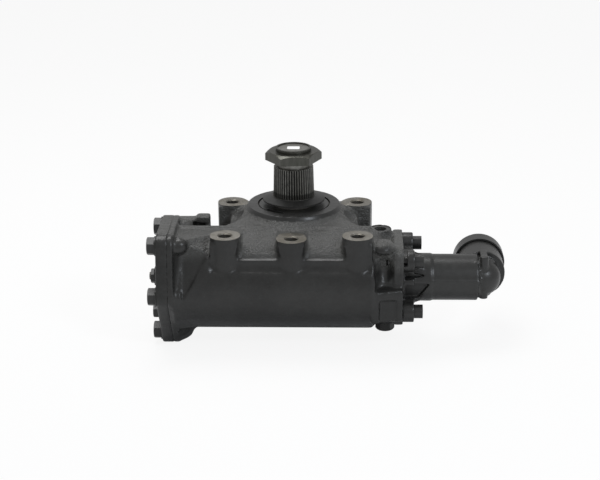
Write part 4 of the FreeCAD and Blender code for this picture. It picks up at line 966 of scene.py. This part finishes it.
plugs = [("X", WORM, 24.0, RIM_X, 240.0), ("Y", DRIVE, 26.5, -47.0, BARREL_END)]
plugs += [("X", (0, y, z), 7.0, RIM_X, DRIVE_FACE) for y, z in RIM_SCREWS]
stock = [("X", RIM_X, -1, 0.7), ("Y", BARREL_END, 1, 2.0), ("X", DRIVE_FACE, 1, 0.6)]
elbow = ("ball", CORNER, 24.0)
column = ("box", (238, -79, -116), (249, -68, -67))
front_rib = ("rod", "X", (0, -92.6, -89.0), 1.6, 181.0, 243.0, 16)
rear_rib = ("rod", "X", (0, -33.4, -89.0), 1.6, 181.0, 216.0, 16)
upper_recess = ("hull", (146, -130, -75), (179, -130, -82), (146, -130, -84.5), (146, -87, -75),
                (179, -88, -82), (146, -87, -84.5))
lower_recess = ("hull", (146, -130, -91), (179, -130, -92), (164, -130, -113), (146, -130, -113),
                (146, -89, -91), (179, -89, -92), (164, -84.5, -113), (146, -84.5, -113))
rim_notch = ("box", (143, -125, -62), (149, -84, -40))
drive = cast("bevel_casting", "bevel_housing", plugs, stock, voxel=1.0, smoothing=4, triangles=110000,
             added=[elbow, column, front_rib, rear_rib], carved=[[upper_recess], [lower_recess, rim_notch]])


# %% [markdown]
# ## Bevel drive: the room for its gears
# Inside the elbow is a round room in which the two bevel gears mesh. It is a ball with one side cut
# off along the mitre, so that the wall keeps its thickness there. One cut by a plane and a filled
# hole shape it.

# %% Clear the room for the gears
ROOM_RADIUS = 23.5
MITRE_START = (241.9, -92.8)
MITRE_END = (277.8, -44.3)
WALL = 5.8

bm = bmesh.new()
ball(bm, CORNER, ROOM_RADIUS)
along = Vector((MITRE_END[0] - MITRE_START[0], MITRE_END[1] - MITRE_START[1], 0)).normalized()
inward = Vector((-along.y, along.x, 0))
wall_point = (Vector((*MITRE_START, 0)) + inward * WALL) * MM
bmesh.ops.bisect_plane(bm, geom=bm.verts[:] + bm.edges[:] + bm.faces[:], plane_co=wall_point,
                       plane_no=-inward, clear_outer=True)
bmesh.ops.holes_fill(bm, edges=[e for e in bm.edges if e.is_boundary])
room = linked("gear_room", bm)
add_cut(drive, room)
settled(drive)
bpy.data.meshes.remove(room.data)
print("room cleared to", ROOM_RADIUS, "mm round the corner")


# %% [markdown]
# ## Bevel drive: machining and paint
# The flange and the barrel's end are faced, and the tube and the barrel are bored until they meet in
# the room. Each screw gets its hole and a flat seat for its head. Only the bores stay bare.

# %% Machine and paint the bevel drive
TUBE_BORE = 23.0
TUBE_BORE_END = 238.5
BARREL_BORE = 25.5
BARREL_BORE_START = -46.5
BARREL_CUTTER = 40.0
SCREW_HOLE, SCREW_SEAT = 6.5, 10.0

machine(drive, [
    [slab(120, RIM_X)],
    [("rod", "Y", DRIVE, BARREL_CUTTER, BARREL_END, 20.0)],
    [("rod", "X", WORM, TUBE_BORE, RIM_X - 2, TUBE_BORE_END, 96)],
    [("rod", "Y", DRIVE, BARREL_BORE, BARREL_BORE_START, 8.0, 96)],
    [("rod", "X", (0, y, z), SCREW_HOLE, RIM_X - 2, DRIVE_FACE + 4, HOLE_STEPS) for y, z in RIM_SCREWS],
    [("rod", "X", (0, y, z), SCREW_SEAT, DRIVE_FACE, DRIVE_FACE + 18, HOLE_STEPS) for y, z in RIM_SCREWS],
])


def drive_face(centre, normal):
    """1 for the bores of tube and barrel, 0 for painted casting."""
    in_tube = centre.x < TUBE_BORE_END + 0.1 and from_worm(centre) < TUBE_BORE + 0.1
    from_barrel = math.hypot(centre.x - DRIVE[0], centre.z - DRIVE[2])
    in_barrel = centre.y > BARREL_BORE_START - 0.1 and from_barrel < BARREL_BORE + 0.1
    return 1 if in_tube or in_barrel else 0


dress(drive, [SMOOTH_PAINT, BORE_STEEL], drive_face)
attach(drive, "housing")
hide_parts("bevel_housing")
print("drive bored to", 2 * TUBE_BORE, "and", 2 * BARREL_BORE, "mm")


# %% [markdown]
# ## Finishes on the turned parts
# The shafts, bolts and seals keep their CAD shapes, because turned and forged parts are as crisp as
# CAD makes them. Each takes the finish that it has on the real box.

# %% Finishes of the other parts
FINISHES = {
    SMOOTH_PAINT: ["end_cover_bolts", "side_cover", "side_cover_bolts", "bevel_housing_screws",
                   "limiter_lock_nut", "adjusting_lock_nut", "housing_plug", "end_cover_plug",
                   "input_dust_cap", "sector_shaft_seal"],
    SERRATED_STEEL: ["sector_shaft"],
    SHAFT_STEEL: ["input_shaft", "limiter_screw", "adjusting_screw", "retaining_ring", "bearing_carrier"],
    NUT_STEEL: ["pitman_nut"],
    DISC_PAINT: ["shaft_dust_cover"],
    RUBBER: ["end_cover_seal", "side_cover_seal", "input_seal", "input_shaft_seal", "piston_seal_ring"],
    GEAR_STEEL: ["piston", "worm_shaft", "valve_sleeve", "valve_rotor", "torsion_bar", "worm_bevel_gear",
                 "input_bevel_pinion", "circulating_balls"],
    BEARING_STEEL: ["lower_sector_bearing", "upper_sector_bearing", "worm_bearing", "drive_bearing",
                    "input_bearing"],
}
for material, nodes in FINISHES.items():
    for node in nodes:
        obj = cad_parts[node]
        if not obj.material_slots:
            obj.data.materials.append(material)
        for slot in obj.material_slots:
            slot.material = material
print("finished nodes:", sum(len(nodes) for nodes in FINISHES.values()))


# %% [markdown]
# ## Label
# A small white label is stuck on the end of the sector shaft. A flat box with its four upright edges
# rounded is enough for it, and it turns with the shaft.

# %% Label on the shaft's end
LABEL_LOW = (-8.2, -6.2, 64.2)
LABEL_HIGH = (8.2, 6.2, 64.45)
LABEL_CORNER = 1.5

bm = bmesh.new()
box(bm, LABEL_LOW, LABEL_HIGH)
upright = [edge for edge in bm.edges if abs(edge.verts[0].co.z - edge.verts[1].co.z) > 0.2 * MM]
bmesh.ops.bevel(bm, geom=upright, offset=LABEL_CORNER * MM, segments=5, profile=0.5, affect="EDGES",
                material=-1)
label = linked("shaft_label", bm)
label.data.materials.append(LABEL)
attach(label, "sector")
print("label:", len(label.data.polygons), "faces")


# %% [markdown]
# ## Colour view
# The Standard view shows each colour at the level at which it is written.

scene.view_settings.view_transform = "Standard"
